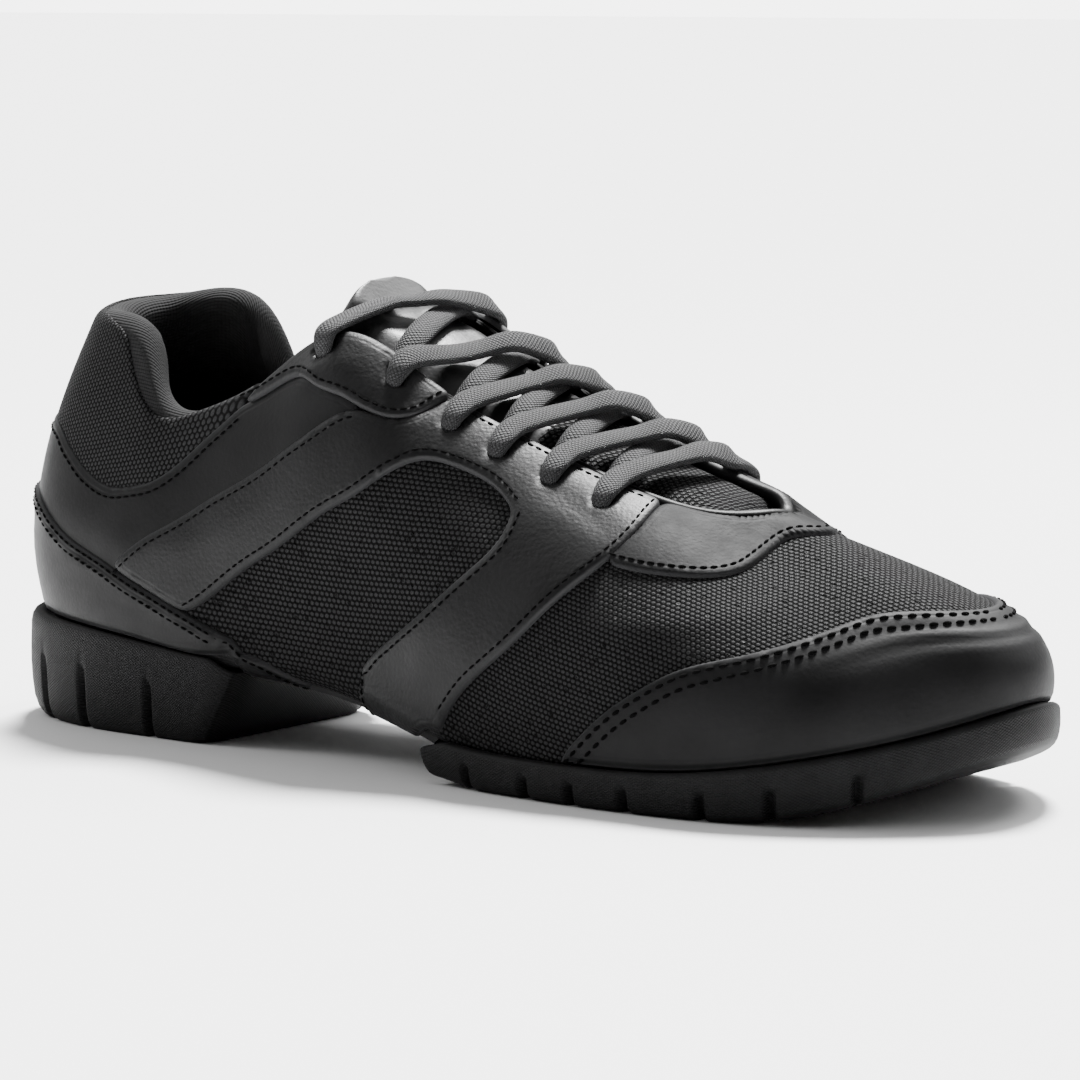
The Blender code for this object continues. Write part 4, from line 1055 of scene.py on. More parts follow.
class SNEAKER_OT_upper(bpy.types.Operator):
    """Build the padded shell of the upper and the cloth panels on it."""

    bl_idname = "sneaker.upper"
    bl_label = "Upper and cloth panels"

    def execute(self, context):
        sizes = context.scene.sneaker_sizes
        look = finishes()
        places = np.concatenate([rib + np.arange(16) / 16 for rib in range(ROUND)] + [[ROUND]])
        shares = np.concatenate((np.linspace(-2, -1, 3)[:-1], np.linspace(-1, 0, 7)[:-1],
                                 np.linspace(0, 1, 46)))
        grid = np.meshgrid(places, np.append(shares, ROLL_SHARES), indexing="ij")
        outer = over_skin(grid[0], grid[1], -SHELL_SINK)
        back = np.concatenate((np.linspace(1, 0, 32), [-0.35, -0.7, -1.0, -2.0]))
        grid = np.meshgrid(places, back, indexing="ij")
        wall = -pad_thickness(grid[0], grid[1])
        inner = skin(grid[0], grid[1]) + skin_frame(grid[0], grid[1])[2] * wall[..., None]
        points = np.concatenate((outer, inner, outer[:, :1]), 1)
        run = lengths(points, 1)
        around = lengths(points, 0)
        middle_row = around[:, len(shares) + 5]
        uv = np.stack((np.broadcast_to(middle_row[:, None], run.shape), run), -1)
        mesh = grid_mesh("upper_shell", points, uv)
        new_piece("upper_shell", mesh, look["lining"], "upper", slot="black_mesh_cloth")
        shapes = outlines(sizes.cell)
        window = rounded(shapes["window"])
        for name, outline in (("window_mesh_outer", window),
                              ("window_mesh_inner", flipped(window)[::-1]),
                              ("vamp_mesh", shapes["vamp"])):
            wide = drawn_in(outline, -CLOTH_REACH)
            mesh = panel_mesh(name, wide, sizes.cell, 0.0, CLOTH_THICK, edge=CLOTH_EDGE)
            piece = new_piece(name, mesh, look["mesh"], slot="black_mesh_cloth")
            unwrap_cloth(piece)
        mesh = panel_mesh("collar_mesh", shapes["collar"], sizes.cell, 0.0, COLLAR_THICK,
                          edge=COLLAR_ROLL)
        piece = new_piece("collar_mesh", mesh, look["collar"], slot="black_mesh_cloth")
        unwrap_cloth(piece)
        return {"FINISHED"}


# Distance of a raised ridge from its seam
RIDGE_INSET = 2.2 * MM


def seam_ridge(rows, height, width):
    """Return a relief that raises a soft ridge along a seam of both sides."""
    line = seam(rows, 1.0 * MM)
    spots = np.vstack((skin(line[:, 0], line[:, 1]), skin(-line[:, 0], line[:, 1])))

    def relief(place, share):
        gap = nearest(skin(place, share), spots)
        return height * np.exp(-((gap - RIDGE_INSET) / width) ** 2)

    return relief


def throat_binding():
    """Return the rolled binding round the front of the throat."""
    places = np.linspace(BINDING_START, ROUND - BINDING_START, 60)
    rim = np.ones(len(places))
    _, rise, normal = skin_frame(places, rim - 0.002)
    rise = rise / np.linalg.norm(rise, axis=1, keepdims=True)
    spots = skin(places, rim) - normal * 0.9 * MM + rise * 0.2 * MM
    return ribbon_mesh("throat_binding", spots, normal + rise * 0.6, [BINDING_WIDE] * 60,
                       BINDING_THICK, 240)


def leather_piece(name, node, outline, cell, base, thick, finish, **more):
    """Build one leather piece that stands for its node."""
    mesh = panel_mesh(name, outline, cell, base, thick, **more)
    new_piece(name, mesh, finish, node, slot="black_leather")


class SNEAKER_OT_leather(bpy.types.Operator):
    """Build the leather pieces laid over the cloth."""

    bl_idname = "sneaker.leather"
    bl_label = "Leather pieces"

    def execute(self, context):
        sizes = context.scene.sneaker_sizes
        look = finishes()
        cell = sizes.cell
        thick = sizes.leather
        shapes = outlines(cell)
        leather_piece("heel_counter_leather", "heel_counter", rounded(shapes["heel_counter"], 3),
                      cell, LEATHER_BASE, thick * 0.9, look["smooth"],
                      relief=seam_ridge(COUNTER_TOP, 0.7 * MM, 1.5 * MM))
        quarter = rounded(drawn_in(shapes["rear_quarter"], -0.6 * MM), 3)
        leather_piece("rear_quarter_leather", "rear_quarter", quarter, cell,
                      LEATHER_BASE - 0.2 * MM, thick * 0.6, look["smooth"])
        leather_piece("toe_cap_leather", "toe_cap", rounded(shapes["toe_cap"], 3), cell * 0.6,
                      LEATHER_BASE, thick, look["cap"])
        tip = rounded(drawn_in(shapes["vamp_tip"], -0.4 * MM), 4)
        leather_piece("vamp_tip_leather", "vamp_tip", tip, cell, LEATHER_BASE, thick * 0.8,
                      look["tip"])
        new_piece("throat_binding", throat_binding(), look["sheet"], slot="black_leather")
        for inner in (False, True):
            side = "inner" if inner else "outer"
            for name, lift, rounds in (("eyestay", STAY_LIFT, 6), ("wing", WING_LIFT, 3)):
                outline = rounded(shapes[name], rounds)
                if inner:
                    outline = flipped(outline)[::-1]
                leather_piece(f"{name}_leather_{side}", f"{name}_{side}", outline, cell,
                              LEATHER_BASE + lift, thick, look["grained"],
                              holes=inside_eyelets(eyelet_rims(inner), outline))
        return {"FINISHED"}


def sole_loop(places, open_x, towards_toe):
    """Return the level outline of a pad, round its closed end and straight across its open end."""
    outer = rib_at(places)[:, :3]
    inner = rib_at(-places)[:, :3]
    if towards_toe:
        loop = np.vstack((outer, inner[-2::-1]))
    else:
        loop = np.vstack((outer[::-1], inner[1:]))
    last, first = loop[-1], loop[0]
    across = np.linspace(0, 1, 60)[1:-1, None]
    loop = np.vstack((loop, last + (first - last) * across))
    whole = np.vstack((loop, loop[:1]))
    run = run_along(whole[:, :2])
    target = np.linspace(0, run[-1], int(run[-1] / PAD_SPACING), endpoint=False)
    loop = np.stack([np.interp(target, run, whole[:, axis]) for axis in range(3)], 1)
    corner = np.abs(loop[:, 0] - open_x) < PAD_CORNER
    for _ in range(PAD_CORNER_ROUNDS):
        soft = (np.roll(loop, 1, 0) + 2 * loop + np.roll(loop, -1, 0)) / 4
        loop[corner] = soft[corner]
    return loop


def underside(x):
    """Return the height of the underside of the pads along the shoe."""
    table = np.array(UNDERSIDE)
    places = table[:, 0] * SOLE_LENGTH - HEEL_REST
    heights = table[:, 1] * COLLAR_HEIGHT
    fine = np.linspace(places[0], places[-1], 400)
    level_line = np.interp(fine, places, heights)
    kernel = np.ones(9) / 9
    padded = np.concatenate((np.full(4, level_line[0]), level_line, np.full(4, level_line[-1])))
    smooth = np.convolve(padded, kernel, "valid")
    return np.interp(x, fine, smooth)


def pad_mesh(name, places, open_x, towards_toe, flare, lean, notches):
    """Return a rubber pad with a textured side, notches, a lip and a flat underside."""
    loop = sole_loop(places, open_x, towards_toe)
    tangent = np.roll(loop, -1, 0) - np.roll(loop, 1, 0)
    tangent = tangent / np.linalg.norm(tangent[:, :2], axis=1, keepdims=True)
    out = np.stack((tangent[:, 1], -tangent[:, 0], np.zeros(len(loop))), 1)
    centre = loop.mean(0)
    if np.sum(out * (loop - centre)) < 0:
        out = -out
    open_end = ease(1 - np.abs(loop[:, 0] - open_x) / OPEN_END) * (np.abs(out[:, 0]) > 0.5)
    backwards = 1 + 1.2 * np.clip(-out[:, 0], 0, None) * (1 - open_end)
    reach = flare * backwards * (1 - 0.9 * open_end)
    run = run_along(loop)
    dent = np.zeros(len(loop))
    for place in notches:
        for side in (1, -1):
            spot = rib_at(np.array([side * place]))[0, :3]
            gap = np.linalg.norm(loop[:, :2] - spot[:2], axis=1)
            dent = np.maximum(dent, np.clip(1 - gap / NOTCH_HALF, 0, 1))
    rows = []
    heights = []
    top = ground(loop[:, 0]) - CLEARANCE / 2
    ramp = ease((np.abs(loop[:, 0] - open_x) - LIP_START) / LIP_RAMP)
    top = top + (PAD_LIP + CLEARANCE / 2) * ramp
    for share_out, up in PAD_SIDE:
        point = loop + out * (reach * share_out)[:, None]
        low = underside(point[:, 0])
        notch_up = ease((NOTCH_TOP - up) / 0.25)
        point = point - out * (dent * notch_up * NOTCH_DEPTH)[:, None]
        point[:, 0] += lean * (1 - up) * ease(1 - np.abs(loop[:, 0] - open_x) / LEAN_REACH)
        point[:, 2] = low + (top - low) * up
        rows.append(point)
        heights.append(up * (top - low))
    deck = loop + out * (0.3 * MM)
    deck[:, 2] = ground(loop[:, 0]) - CLEARANCE
    rows.append(deck)
    heights.append(heights[-1])
    width = np.ptp(loop[:, 1])
    low_x, high_x = loop[:, 0].min() + 0.35 * width, loop[:, 0].max() - 0.35 * width
    target_x = np.clip(loop[:, 0], low_x, high_x)
    target = np.stack((target_x, np.interp(target_x, *middle_line(loop)), np.zeros(len(loop))), 1)
    under = []
    for part in (1.0, 0.75, 0.5, 0.25, 0.08):
        point = rows[0] + (target - rows[0]) * part
        point[:, 2] = underside(point[:, 0])
        under.append(point)
    above = []
    for part in (0.25, 0.5, 0.75, 1.0):
        point = deck + (target - deck) * part
        point[:, 2] = ground(point[:, 0]) - CLEARANCE
        above.append(point)
    points = np.stack(under + rows + above, 1)
    points = np.concatenate((points, points[:1]), 0)
    high = np.stack([heights[0]] * len(under) + heights + [heights[-1]] * len(above), 1)
    high = np.concatenate((high, high[:1]), 0)
    run = np.append(run, run[-1] + np.linalg.norm(loop[0] - loop[-1]))
    uv = np.stack((np.broadcast_to(run[:, None], high.shape), high), -1)
    return grid_mesh(name, points, uv, outwards=True)


def middle_line(loop):
    """Return the places along a loop and the middle across it there."""
    marks = np.linspace(loop[:, 0].min() + MM, loop[:, 0].max() - MM, 40)
    middle = []
    for mark in marks:
        near = loop[np.abs(loop[:, 0] - mark) < 2.5 * MM]
        middle.append((near[:, 1].min() + near[:, 1].max()) / 2)
    return marks, np.array(middle)


def mark_sides(mesh):
    """Store how level each face's side is, for the texture and its painted highlight on the sides only.
    """
    layer = mesh.attributes.new("side", "FLOAT", "POINT")
    values = [min(max(1.0 - abs(vert.normal.z) * 1.6, 0.0) * 2.0, 1.0) for vert in mesh.vertices]
    layer.data.foreach_set("value", values)


class SNEAKER_OT_soles(bpy.types.Operator):
    """Build the heel pad and the forefoot pad."""

    bl_idname = "sneaker.soles"
    bl_label = "Sole pads"

    def execute(self, context):
        look = finishes()
        fine = np.linspace(0, TOE, 2000)
        start = np.interp(FOREFOOT_REAR - HEEL_REST, rib_at(fine)[:, 0], fine)
        end = np.interp(HEEL_FRONT - HEEL_REST, rib_at(fine)[:, 0], fine)
        mesh = pad_mesh("forefoot_pad", np.linspace(start, TOE, 300), FOREFOOT_REAR - HEEL_REST, True,
                        FOREFOOT_FLARE, FOREFOOT_LEAN, FOREFOOT_NOTCHES)
        mark_sides(mesh)
        new_piece("forefoot_pad", mesh, look["rubber"], "forefoot_sole", slot="black_rubber")
        mesh = pad_mesh("heel_pad", np.linspace(0, end, 220), HEEL_FRONT - HEEL_REST, False,
                        HEEL_FLARE, -HEEL_FRONT_LEAN, HEEL_NOTCHES)
        mark_sides(mesh)
        new_piece("heel_pad", mesh, look["rubber"], "heel_sole", slot="black_rubber")
        return {"FINISHED"}


def throat_frame(place):
    """Return the middle of the throat, the direction across it and its upward normal."""
    outer_rim = rib_at(place)[3:6]
    inner_rim = rib_at(-place)[3:6]
    middle = (outer_rim + inner_rim) / 2
    across = (inner_rim - outer_rim) / np.linalg.norm(inner_rim - outer_rim)
    front = min(place + 0.3, 10.0)
    rear = min(place, 9.7) - 0.3
    along = rib_at(front)[3:6] + rib_at(-front)[3:6] - rib_at(rear)[3:6] - rib_at(-rear)[3:6]
    along = along / np.linalg.norm(along)
    normal = np.cross(along, across)
    return middle, across, normal / np.linalg.norm(normal)


def tongue_section(place, lift, half, sink):
    """Return the points across the top of the tongue."""
    middle, across, normal = throat_frame(place)
    if place < TONGUE_FRONT:
        shares = np.array(TONGUE_SHARES)
        spots = []
        for side in (1, -1):
            where = np.full(len(shares), side * place)
            spots.append(skin(where, shares) - skin_frame(where, shares)[2]
                         * (pad_thickness(where, shares) + TONGUE_CLEAR)[:, None])
        throat = np.linalg.norm(rib_at(place)[3:6] - rib_at(-place)[3:6]) / 2
        top = [middle + across * throat * side - normal * (sink + TONGUE_CROWN * side**2)
               for side in (-0.66, -0.33, 0.0, 0.33, 0.66)]
        points = [*spots[0], *top, *spots[1][::-1]]
    else:
        points = []
        for step in range(11):
            side = step / 5 - 1
            points.append(middle + across * side * half
                          - normal * (sink + 2 * TONGUE_CROWN * side**2 * half / TONGUE_HALF))
    rise = np.array((-0.75, 0.0, 0.85)) * lift
    narrow = 1.0 if place > 6.0 or lift == 0 else half / TONGUE_HALF
    centre = points[5]
    return np.array([centre + (point - centre) * narrow + rise for point in points]), normal


def tongue_net():
    """Return the closed sections of the tongue, from its tip to its front."""
    net = []
    sides = np.linspace(-1, 1, 11)
    for _, place, lift, half, sink in TONGUE_ROWS:
        top, normal = tongue_section(place, lift * TONGUE_LIFT, half * TONGUE_HALF,
                                     sink * TONGUE_PAD)
        thick = TONGUE_EDGE + (TONGUE_PAD - TONGUE_EDGE) * (1 - sides**2)
        under = top - normal * thick[:, None]
        net.append(np.vstack((top, under[::-1])))
    net = np.array(net)
    flat = (net[0] + np.vstack((net[0][11:][::-1], net[0][:11][::-1]))) / 2
    tip = flat + np.array((-0.5, 0.0, 0.7)) * 0.8 * MM
    close = (net[0] * 0.85 + flat * 0.15) + np.array((-0.5, 0.0, 0.7)) * 0.45 * MM
    return np.concatenate((tip[None], close[None], net), 0)


class SNEAKER_OT_insides(bpy.types.Operator):
    """Build the tongue, and finish the insole and the arch panel."""

    bl_idname = "sneaker.insides"
    bl_label = "Tongue, insole and arch"

    def execute(self, context):
        look = finishes()
        net = tongue_net()
        rows = np.stack([curve_through(net[:, index], TONGUE_ALONG) for index in range(net.shape[1])], 1)
        fine = np.stack([curve_through(row, TONGUE_AROUND, closed=True) for row in rows], 0)
        run = lengths(fine, 0)[:, TONGUE_AROUND // 4]
        across = lengths(fine, 1)
        uv = np.stack((across, np.broadcast_to(run[:, None], across.shape)), -1)
        mesh = grid_mesh("tongue_padded", fine, uv, outwards=True)
        piece = new_piece("tongue_padded", mesh, look["tab"], "tongue", slot="black_leather")
        mesh.materials.append(look["mesh"])
        for face in mesh.polygons:
            face.material_index = int(face.center.x > TONGUE_MESH)
        for name, key in (("insole", "sock"), ("arch_panel", "sheet")):
            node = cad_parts[name]
            node.data.materials.clear()
            node.data.materials.append(look[key])
        return {"FINISHED"}


# Points round a ribbon, and passes that smooth its path
RIBBON_AROUND = 17
RIBBON_ROUNDS = 14


def ribbon_mesh(name, spots, ups, widths, thick, count=70):
    """Return a flat oval ribbon along control points with its broad face turned to ups."""
    table = np.hstack((spots, ups, np.asarray(widths)[:, None]))
    fine = curve_through(table, count)
    for _ in range(RIBBON_ROUNDS):
        fine[1:-1] = (fine[:-2] + 2 * fine[1:-1] + fine[2:]) / 4
    path, turn, width = fine[:, :3], fine[:, 3:6], fine[:, 6]
    along = np.gradient(path, axis=0)
    along = along / np.linalg.norm(along, axis=1, keepdims=True)
    side = np.cross(along, turn)
    side = side / np.linalg.norm(side, axis=1, keepdims=True)
    face = np.cross(side, along)
    angles = np.linspace(0, 2 * math.pi, RIBBON_AROUND)
    flat = np.sign(np.cos(angles)) * np.abs(np.cos(angles)) ** 0.75
    domed = np.sign(np.sin(angles)) * np.abs(np.sin(angles)) ** 0.8
    points = (path[:, None] + side[:, None] * (width[:, None] / 2 * flat)[..., None]
              + face[:, None] * (thick / 2 * domed)[None, :, None])
    run = lengths(path[:, None], 0)[:, 0]
    uv = np.stack((np.broadcast_to(run[:, None], points.shape[:2]),
                   np.broadcast_to(np.linspace(0, 1, RIBBON_AROUND)[None], points.shape[:2])), -1)
    caps = np.repeat(path[[0, -1]][:, None], RIBBON_AROUND, 1)
    points = np.concatenate((caps[:1], points, caps[1:]), 0)
    uv = np.concatenate((uv[:1], uv, uv[-1:]), 0)
    return grid_mesh(name, points, uv, outwards=True)


def leather_top(place, sizes):
    """Return the height of the leather's surface round an eyelet."""
    return LEATHER_BASE + sizes.leather + (WING_LIFT if abs(place) < WING_END else STAY_LIFT)


def lace_end(place, share, sizes):
    """Return the points of a lace from inside an eyelet to the throat's edge."""
    top = leather_top(place, sizes)
    half = sizes.lace_thick / 2
    height = np.linalg.norm(skin_frame(np.array([place]), np.array([share]))[1])
    # Columns: distance up the wall from the eyelet, height over the leather
    steps = np.array(((-2.6 * MM, -2.4 * MM), (-0.9 * MM, 0.1 * MM), (1.6 * MM, half - 0.1 * MM)))
    shares = np.append(share + steps[:, 0] / height, 0.985)
    where = np.full(4, place)
    normal = skin_frame(where, shares)[2]
    lifts = top + np.append(steps[:, 1], half + 0.1 * MM)
    return skin(where, shares) + normal * lifts[:, None], normal


# Widths along a lace run that shows, as shares of the lace's width
LACE_TAPER = (0.5, 0.68, 0.9, 1, 1, 0.95, 1, 1.05, 1, 0.9, 0.68, 0.5)


def over_lace(index, sizes):
    """Return the points, facings and widths of a lace run that shows from side to side."""
    near, far, share = EYELETS[index]
    first, first_up = lace_end(near, share, sizes)
    second, second_up = lace_end(-far, share, sizes)
    middle, across, normal = throat_frame((near + far) / 2)
    wander = 0.5 * MM * math.sin(2.1 * index)
    crest = middle + normal * (TONGUE_PAD * 0.2 + OVER_RISE + wander)
    toeward = np.array((1.0, 0.0, 0.0))
    quarter = [crest - across * 7.0 * MM, crest + across * 6.0 * MM + normal * 0.3 * MM]
    quarter[0] += (first[-1] - middle) * toeward * 0.5
    quarter[1] += (second[-1] - middle) * toeward * 0.4
    knob = second[-1] + normal * (LACE_KNOB + wander) - across * 2.4 * MM
    spots = np.vstack((first, quarter[0], crest, quarter[1], knob, second[::-1]))
    ups = np.vstack((first_up, normal, normal, normal + toeward * 0.3,
                     normal * 0.7 + toeward * 0.7, second_up[::-1]))
    return spots, ups, [sizes.lace_width * part for part in LACE_TAPER]


def under_lace(index):
    """Return the points and facings of a lace run that passes below to the next eyelet."""
    start = EYELETS[index + 1][0] - 0.1
    end = EYELETS[index][1] - 0.25
    spots = []
    ups = []
    for part in np.linspace(-1, 1, 7):
        place = start + (end - start) * (part + 1) / 2
        middle, across, normal = throat_frame(max(place, 6.05))
        throat = np.linalg.norm(rib_at(place)[3:6] - rib_at(-place)[3:6]) / 2
        height = (TONGUE_PAD * 0.2 + UNDER_RISE) * (1 - part**4)
        height -= (1.6 if part < 0 else 0.3) * MM * part**4
        spots.append(middle + across * throat * part
                     + normal * (height - TONGUE_CROWN * (0.66 * part) ** 2))
        ups.append(normal)
    return np.array(spots), np.array(ups)


def eyelet_shade_plugs(sizes):
    """Return the dark plugs inside the eyelets, painted shade that stands for the shade in the holes."""
    bm = bmesh.new()
    for outer_place, inner_place, share in EYELETS:
        for place in (outer_place, -inner_place):
            where, up = np.array([place]), np.array([share])
            along, _, normal = skin_frame(where, up)
            first = along[0] / np.linalg.norm(along[0])
            second = np.cross(normal[0], first)
            deep = leather_top(place, sizes) - 0.5 * MM
            turned = Matrix(np.column_stack((first, second, normal[0])).tolist())
            centre = Matrix.Translation(skin(where, up)[0] + normal[0] * deep / 2)
            bmesh.ops.create_cone(bm, cap_ends=True, segments=16, radius1=EYELET_RADIUS * 0.96,
                                  radius2=EYELET_RADIUS * 1.03, depth=deep,
                                  matrix=centre @ turned.to_4x4())
    return finished("eyelet_hole_shade", bm)


class SNEAKER_OT_laces(bpy.types.Operator):
    """Run the flat lace through the eyelets and over the tongue."""

    bl_idname = "sneaker.laces"
    bl_label = "Laces and eyelets"

    def execute(self, context):
        sizes = context.scene.sneaker_sizes
        look = finishes()
        last = len(EYELETS) - 1
        for index in range(len(EYELETS)):
            name = f"lace_over_{index + 1}"
            node = f"lace_crossing_{index + 1}" if index < last else "lace_bar"
            mesh = ribbon_mesh(name, *over_lace(index, sizes), sizes.lace_thick, 110)
            new_piece(name, mesh, look["lace"], node, slot="black_lace")
            if index < last:
                name = f"lace_under_{index + 1}"
                mesh = ribbon_mesh(name, *under_lace(index), [sizes.lace_width] * 7,
                                   sizes.lace_thick, 60)
                new_piece(name, mesh, look["lace"], slot="black_lace")
        # The dark plugs in the eyelets are painted shade for the shade in the holes
        new_piece("eyelet_hole_shade", eyelet_shade_plugs(sizes), look["hole"], slot="black_leather")
        return {"FINISHED"}


# Distance of the stitches from an edge, and of the two coarse rows from the toe cap's edge
STITCH_INSET = 2.1 * MM
CAP_INSETS = (2.0 * MM, 4.8 * MM)


def stitch_row(bm, line, lift, pitch, long=0.66, wide=0.62 * MM):
    """Add the stitches of one row along places and shares."""
    row = bmesh.new()
    points = np.hstack((over_skin(line[:, 0], line[:, 1], np.full(len(line), lift)), line))
    run = run_along(points[:, :3])
    count = int(run[-1] / pitch)
    for index in range(count):
        ends = [(index + 0.5 + side * long / 2) * pitch for side in (-1, 1)]
        spots = [np.array([np.interp(end, run, points[:, axis]) for axis in range(5)]) for end in ends]
        start, end = spots[0][:3], spots[1][:3]
        spot = (spots[0][3:] + spots[1][3:]) / 2
        normal = skin_frame(spot[:1], spot[1:])[2][0]
        along = (end - start) / 2
        side = np.cross(normal, along) / np.linalg.norm(along) * wide / 2
        middle = (start + end) / 2 + normal * 0.06 * MM
        turned = Matrix(np.column_stack((side, normal * wide * 0.5, along * 1.15)).tolist())
        bmesh.ops.create_uvsphere(row, u_segments=6, v_segments=5, radius=1.0,
                                  matrix=Matrix.Translation(middle) @ turned.to_4x4())
    mesh = finished("row", row)
    bm.from_mesh(mesh)
    bpy.data.meshes.remove(mesh)


class SNEAKER_OT_stitches(bpy.types.Operator):
    """Sew the rows of stitches along the leather's edges."""

    bl_idname = "sneaker.stitches"
    bl_label = "Stitches"

    def execute(self, context):
        sizes = context.scene.sneaker_sizes
        look = finishes()
        s = seams(1.0 * MM)
        top = LEATHER_BASE + sizes.leather
        inset = STITCH_INSET
        # Columns: seam, distance to its left, lift of the leather there
        rows = [
            (s["strap"], -inset, top), (s["window"], inset, top + 0.1 * MM),
            (s["window_front"], inset, top + 0.1 * MM), (s["saddle"], -inset, top + 0.1 * MM),
            (s["wing_back"], inset, top + WING_LIFT), (s["wing_front"], inset, top + WING_LIFT),
            (s["collar"], -inset, top - 0.6 * MM), (s["counter"], -1.2 * MM, top + 0.3 * MM),
            (s["counter"], -3.4 * MM, top + 0.3 * MM), (s["tail"], -1.4 * MM, top),
            (s["tip"], inset, top - 0.2 * MM),
        ]
        bm = bmesh.new()
        for line, distance, lift in rows:
            row = drawn_in(line, distance, closed=False)
            stitch_row(bm, row, lift, sizes.stitch)
            stitch_row(bm, flipped(row), lift, sizes.stitch)
        for distance in CAP_INSETS:
            row = drawn_in(s["cap"], -distance, closed=False)
            stitch_row(bm, row, top, sizes.stitch * 1.3, 0.6, 1.0 * MM)
            stitch_row(bm, flipped(row), top, sizes.stitch * 1.3, 0.6, 1.0 * MM)
        throat = level(WING_FRONT[-1][0] + 0.1, SADDLE_FRONT[0][0] - 0.1, RIM_LINE, 1.0 * MM)
        row = drawn_in(throat, -inset, closed=False)
        stitch_row(bm, row, top + 0.1 * MM, sizes.stitch)
        stitch_row(bm, flipped(row), top + 0.1 * MM, sizes.stitch)
        mesh = finished("seam_stitches", bm)
        new_piece("seam_stitches", mesh, look["thread"], slot="black_leather")
        return {"FINISHED"}


# Lamps. Columns: name, place, aim, size, power
LAMPS = (
    ("heel", (-1.3, -0.5, 1.1), (0.0, 0.0, 0.06), 0.5, 8.0),
    ("toe", (1.4, 0.6, 0.9), (0.15, 0.0, 0.04), 0.5, 1.5),
    ("tongue", (0.28, 0.83, 0.91), (0.02, 0.0, 0.1), 0.45, 9.0),
)
# The sun's direction, strength and spread in degrees
KEY_PLACE = (-0.45, 1.15, 2.2)
KEY_STRENGTH = 17.0
KEY_SPREAD = 14.0
# Half width of the floor, and strengths of the surround: behind, in front, and as the camera sees it
FLOOR_HALF = 60.0
WORLD_BEHIND = 0.9
WORLD_FRONT = 0.06
WORLD_SEEN = 5.5


def studio_world():
    """Return a white surround that lights the shoe from above and behind."""
    world = bpy.data.worlds.new("studio")
    world.use_nodes = True
    tree = world.node_tree
    shade = tree.nodes["Background"]
    spot = tree.nodes.new("ShaderNodeTexCoord")
    axes = tree.nodes.new("ShaderNodeSeparateXYZ")
    tree.links.new(spot.outputs["Generated"], axes.inputs[0])
    across, along, up = [Value(tree, socket) for socket in axes.outputs]
    azimuth = math.radians(CAMERA_AZIMUTH)
    behind = along * math.cos(azimuth) - across * math.sin(azimuth) + up * 0.8
    light = behind.smooth(-0.4, 1.0, WORLD_FRONT, WORLD_BEHIND)
    path = tree.nodes.new("ShaderNodeLightPath")
    seen = Value(tree, path.outputs["Is Camera Ray"])
    strength = light + seen * (light * -1.0 + WORLD_SEEN)
    shade.inputs["Color"].default_value = (1.0, 1.0, 1.0, 1.0)
    tree.links.new(strength.source, shade.inputs["Strength"])
    return world


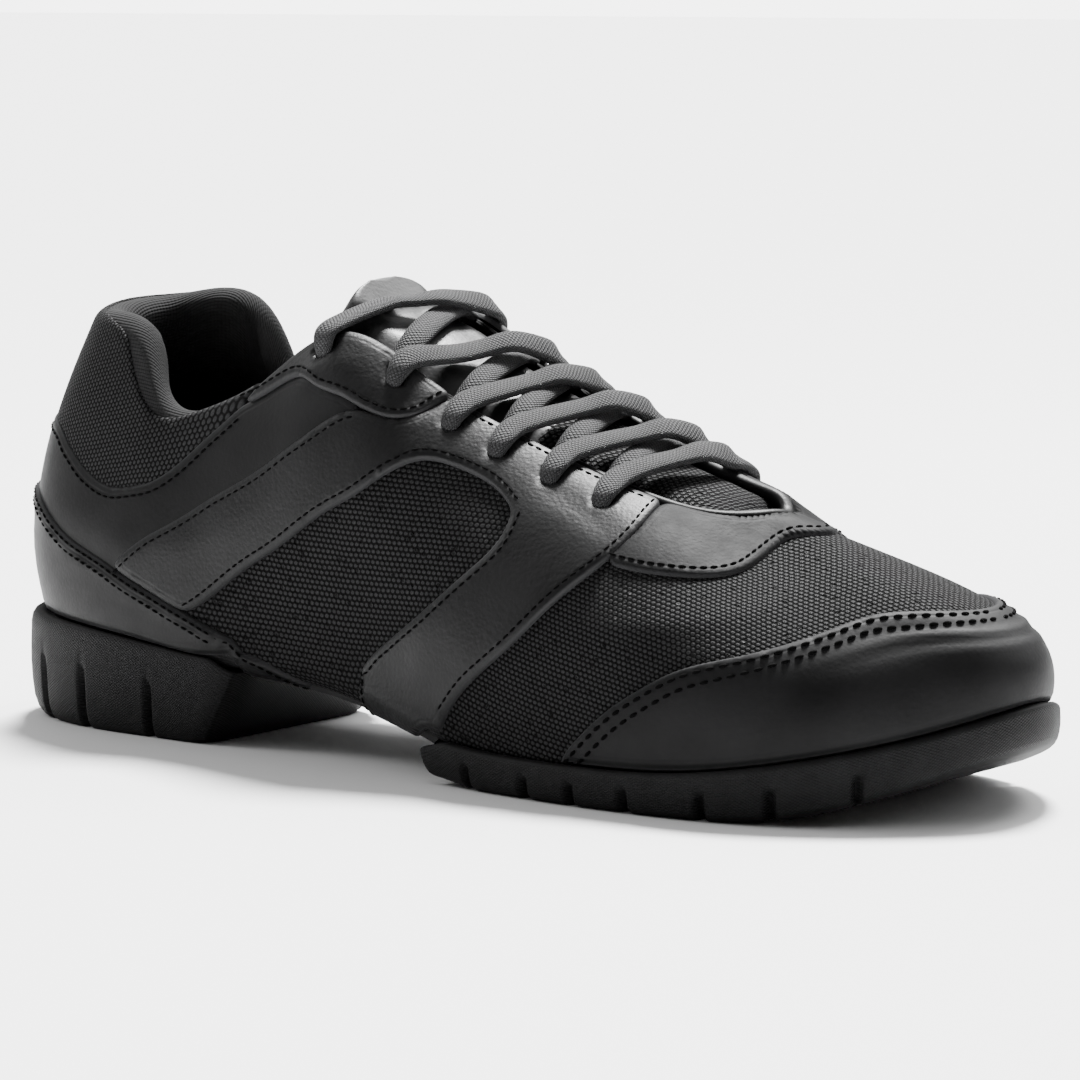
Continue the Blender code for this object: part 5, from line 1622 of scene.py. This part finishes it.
class SNEAKER_OT_stage(bpy.types.Operator):
    """Set the floor, the soft lights and the camera."""

    bl_idname = "sneaker.stage"
    bl_label = "Stage"

    def execute(self, context):
        look = context.scene.sneaker_colours
        bm = bmesh.new()
        bmesh.ops.create_grid(bm, x_segments=1, y_segments=1, size=FLOOR_HALF)
        mesh = finished("floor", bm)
        floor = bpy.data.objects.new("floor", mesh)
        context.scene.collection.objects.link(floor)
        finish = Finish("pale_floor", look.floor, 0.7)
        mesh.materials.append(finish.material)
        context.scene.world = studio_world()
        for name, place, aim, size, power in LAMPS:
            light = bpy.data.lights.new(name, "AREA")
            light.size = size
            light.energy = power
            lamp = bpy.data.objects.new(name, light)
            lamp.location = place
            lamp.rotation_euler = (Vector(aim) - Vector(place)).to_track_quat("-Z", "Y").to_euler()
            context.scene.collection.objects.link(lamp)
        key = bpy.data.lights.new("key", "SUN")
        key.energy = KEY_STRENGTH
        key.angle = math.radians(KEY_SPREAD)
        lamp = bpy.data.objects.new("key", key)
        lamp.rotation_euler = (-Vector(KEY_PLACE)).to_track_quat("-Z", "Y").to_euler()
        context.scene.collection.objects.link(lamp)
        camera = bpy.data.cameras.new("camera")
        camera.lens = CAMERA_LENS
        camera.sensor_width = 36.0
        eye = bpy.data.objects.new("camera", camera)
        a, e = math.radians(CAMERA_AZIMUTH), math.radians(CAMERA_ELEVATION)
        back = Vector((math.sin(a) * math.cos(e), -math.cos(a) * math.cos(e), math.sin(e)))
        eye.location = Vector(CAMERA_TARGET) + back * CAMERA_DISTANCE
        aim = (-back).to_track_quat("-Z", "Y")
        roll = Quaternion((0.0, 0.0, 1.0), math.radians(CAMERA_ROLL))
        eye.rotation_euler = (aim @ roll).to_euler()
        context.scene.collection.objects.link(eye)
        context.scene.camera = eye
        return {"FINISHED"}


class SNEAKER_PT_panel(bpy.types.Panel):
    """Sizes, colours and pieces of the sneaker."""

    bl_label = "Sneaker"
    bl_space_type = "VIEW_3D"
    bl_region_type = "UI"
    bl_category = "Sneaker"

    def draw(self, context):
        for group in (context.scene.sneaker_sizes, context.scene.sneaker_colours):
            for name in group.__annotations__:
                self.layout.prop(group, name)
        for operator in OPERATORS:
            self.layout.operator(operator.bl_idname)


OPERATORS = (SNEAKER_OT_stage, SNEAKER_OT_upper, SNEAKER_OT_leather, SNEAKER_OT_soles,
             SNEAKER_OT_insides, SNEAKER_OT_laces, SNEAKER_OT_stitches)


def register():
    """Register the classes and their settings."""
    for item in (Sizes, Colours, *OPERATORS, SNEAKER_PT_panel):
        bpy.utils.register_class(item)
    bpy.types.Scene.sneaker_sizes = PointerProperty(type=Sizes)
    bpy.types.Scene.sneaker_colours = PointerProperty(type=Colours)


def unregister():
    """Remove the settings and the classes."""
    del bpy.types.Scene.sneaker_sizes
    del bpy.types.Scene.sneaker_colours
    for item in (SNEAKER_PT_panel, *reversed(OPERATORS), Colours, Sizes):
        bpy.utils.unregister_class(item)


def main():
    """Build the whole shoe and its stage."""
    register()
    bpy.ops.sneaker.stage()
    bpy.ops.sneaker.upper()
    bpy.ops.sneaker.leather()
    bpy.ops.sneaker.soles()
    bpy.ops.sneaker.insides()
    bpy.ops.sneaker.laces()
    bpy.ops.sneaker.stitches()


if __name__ == "__main__":
    main()
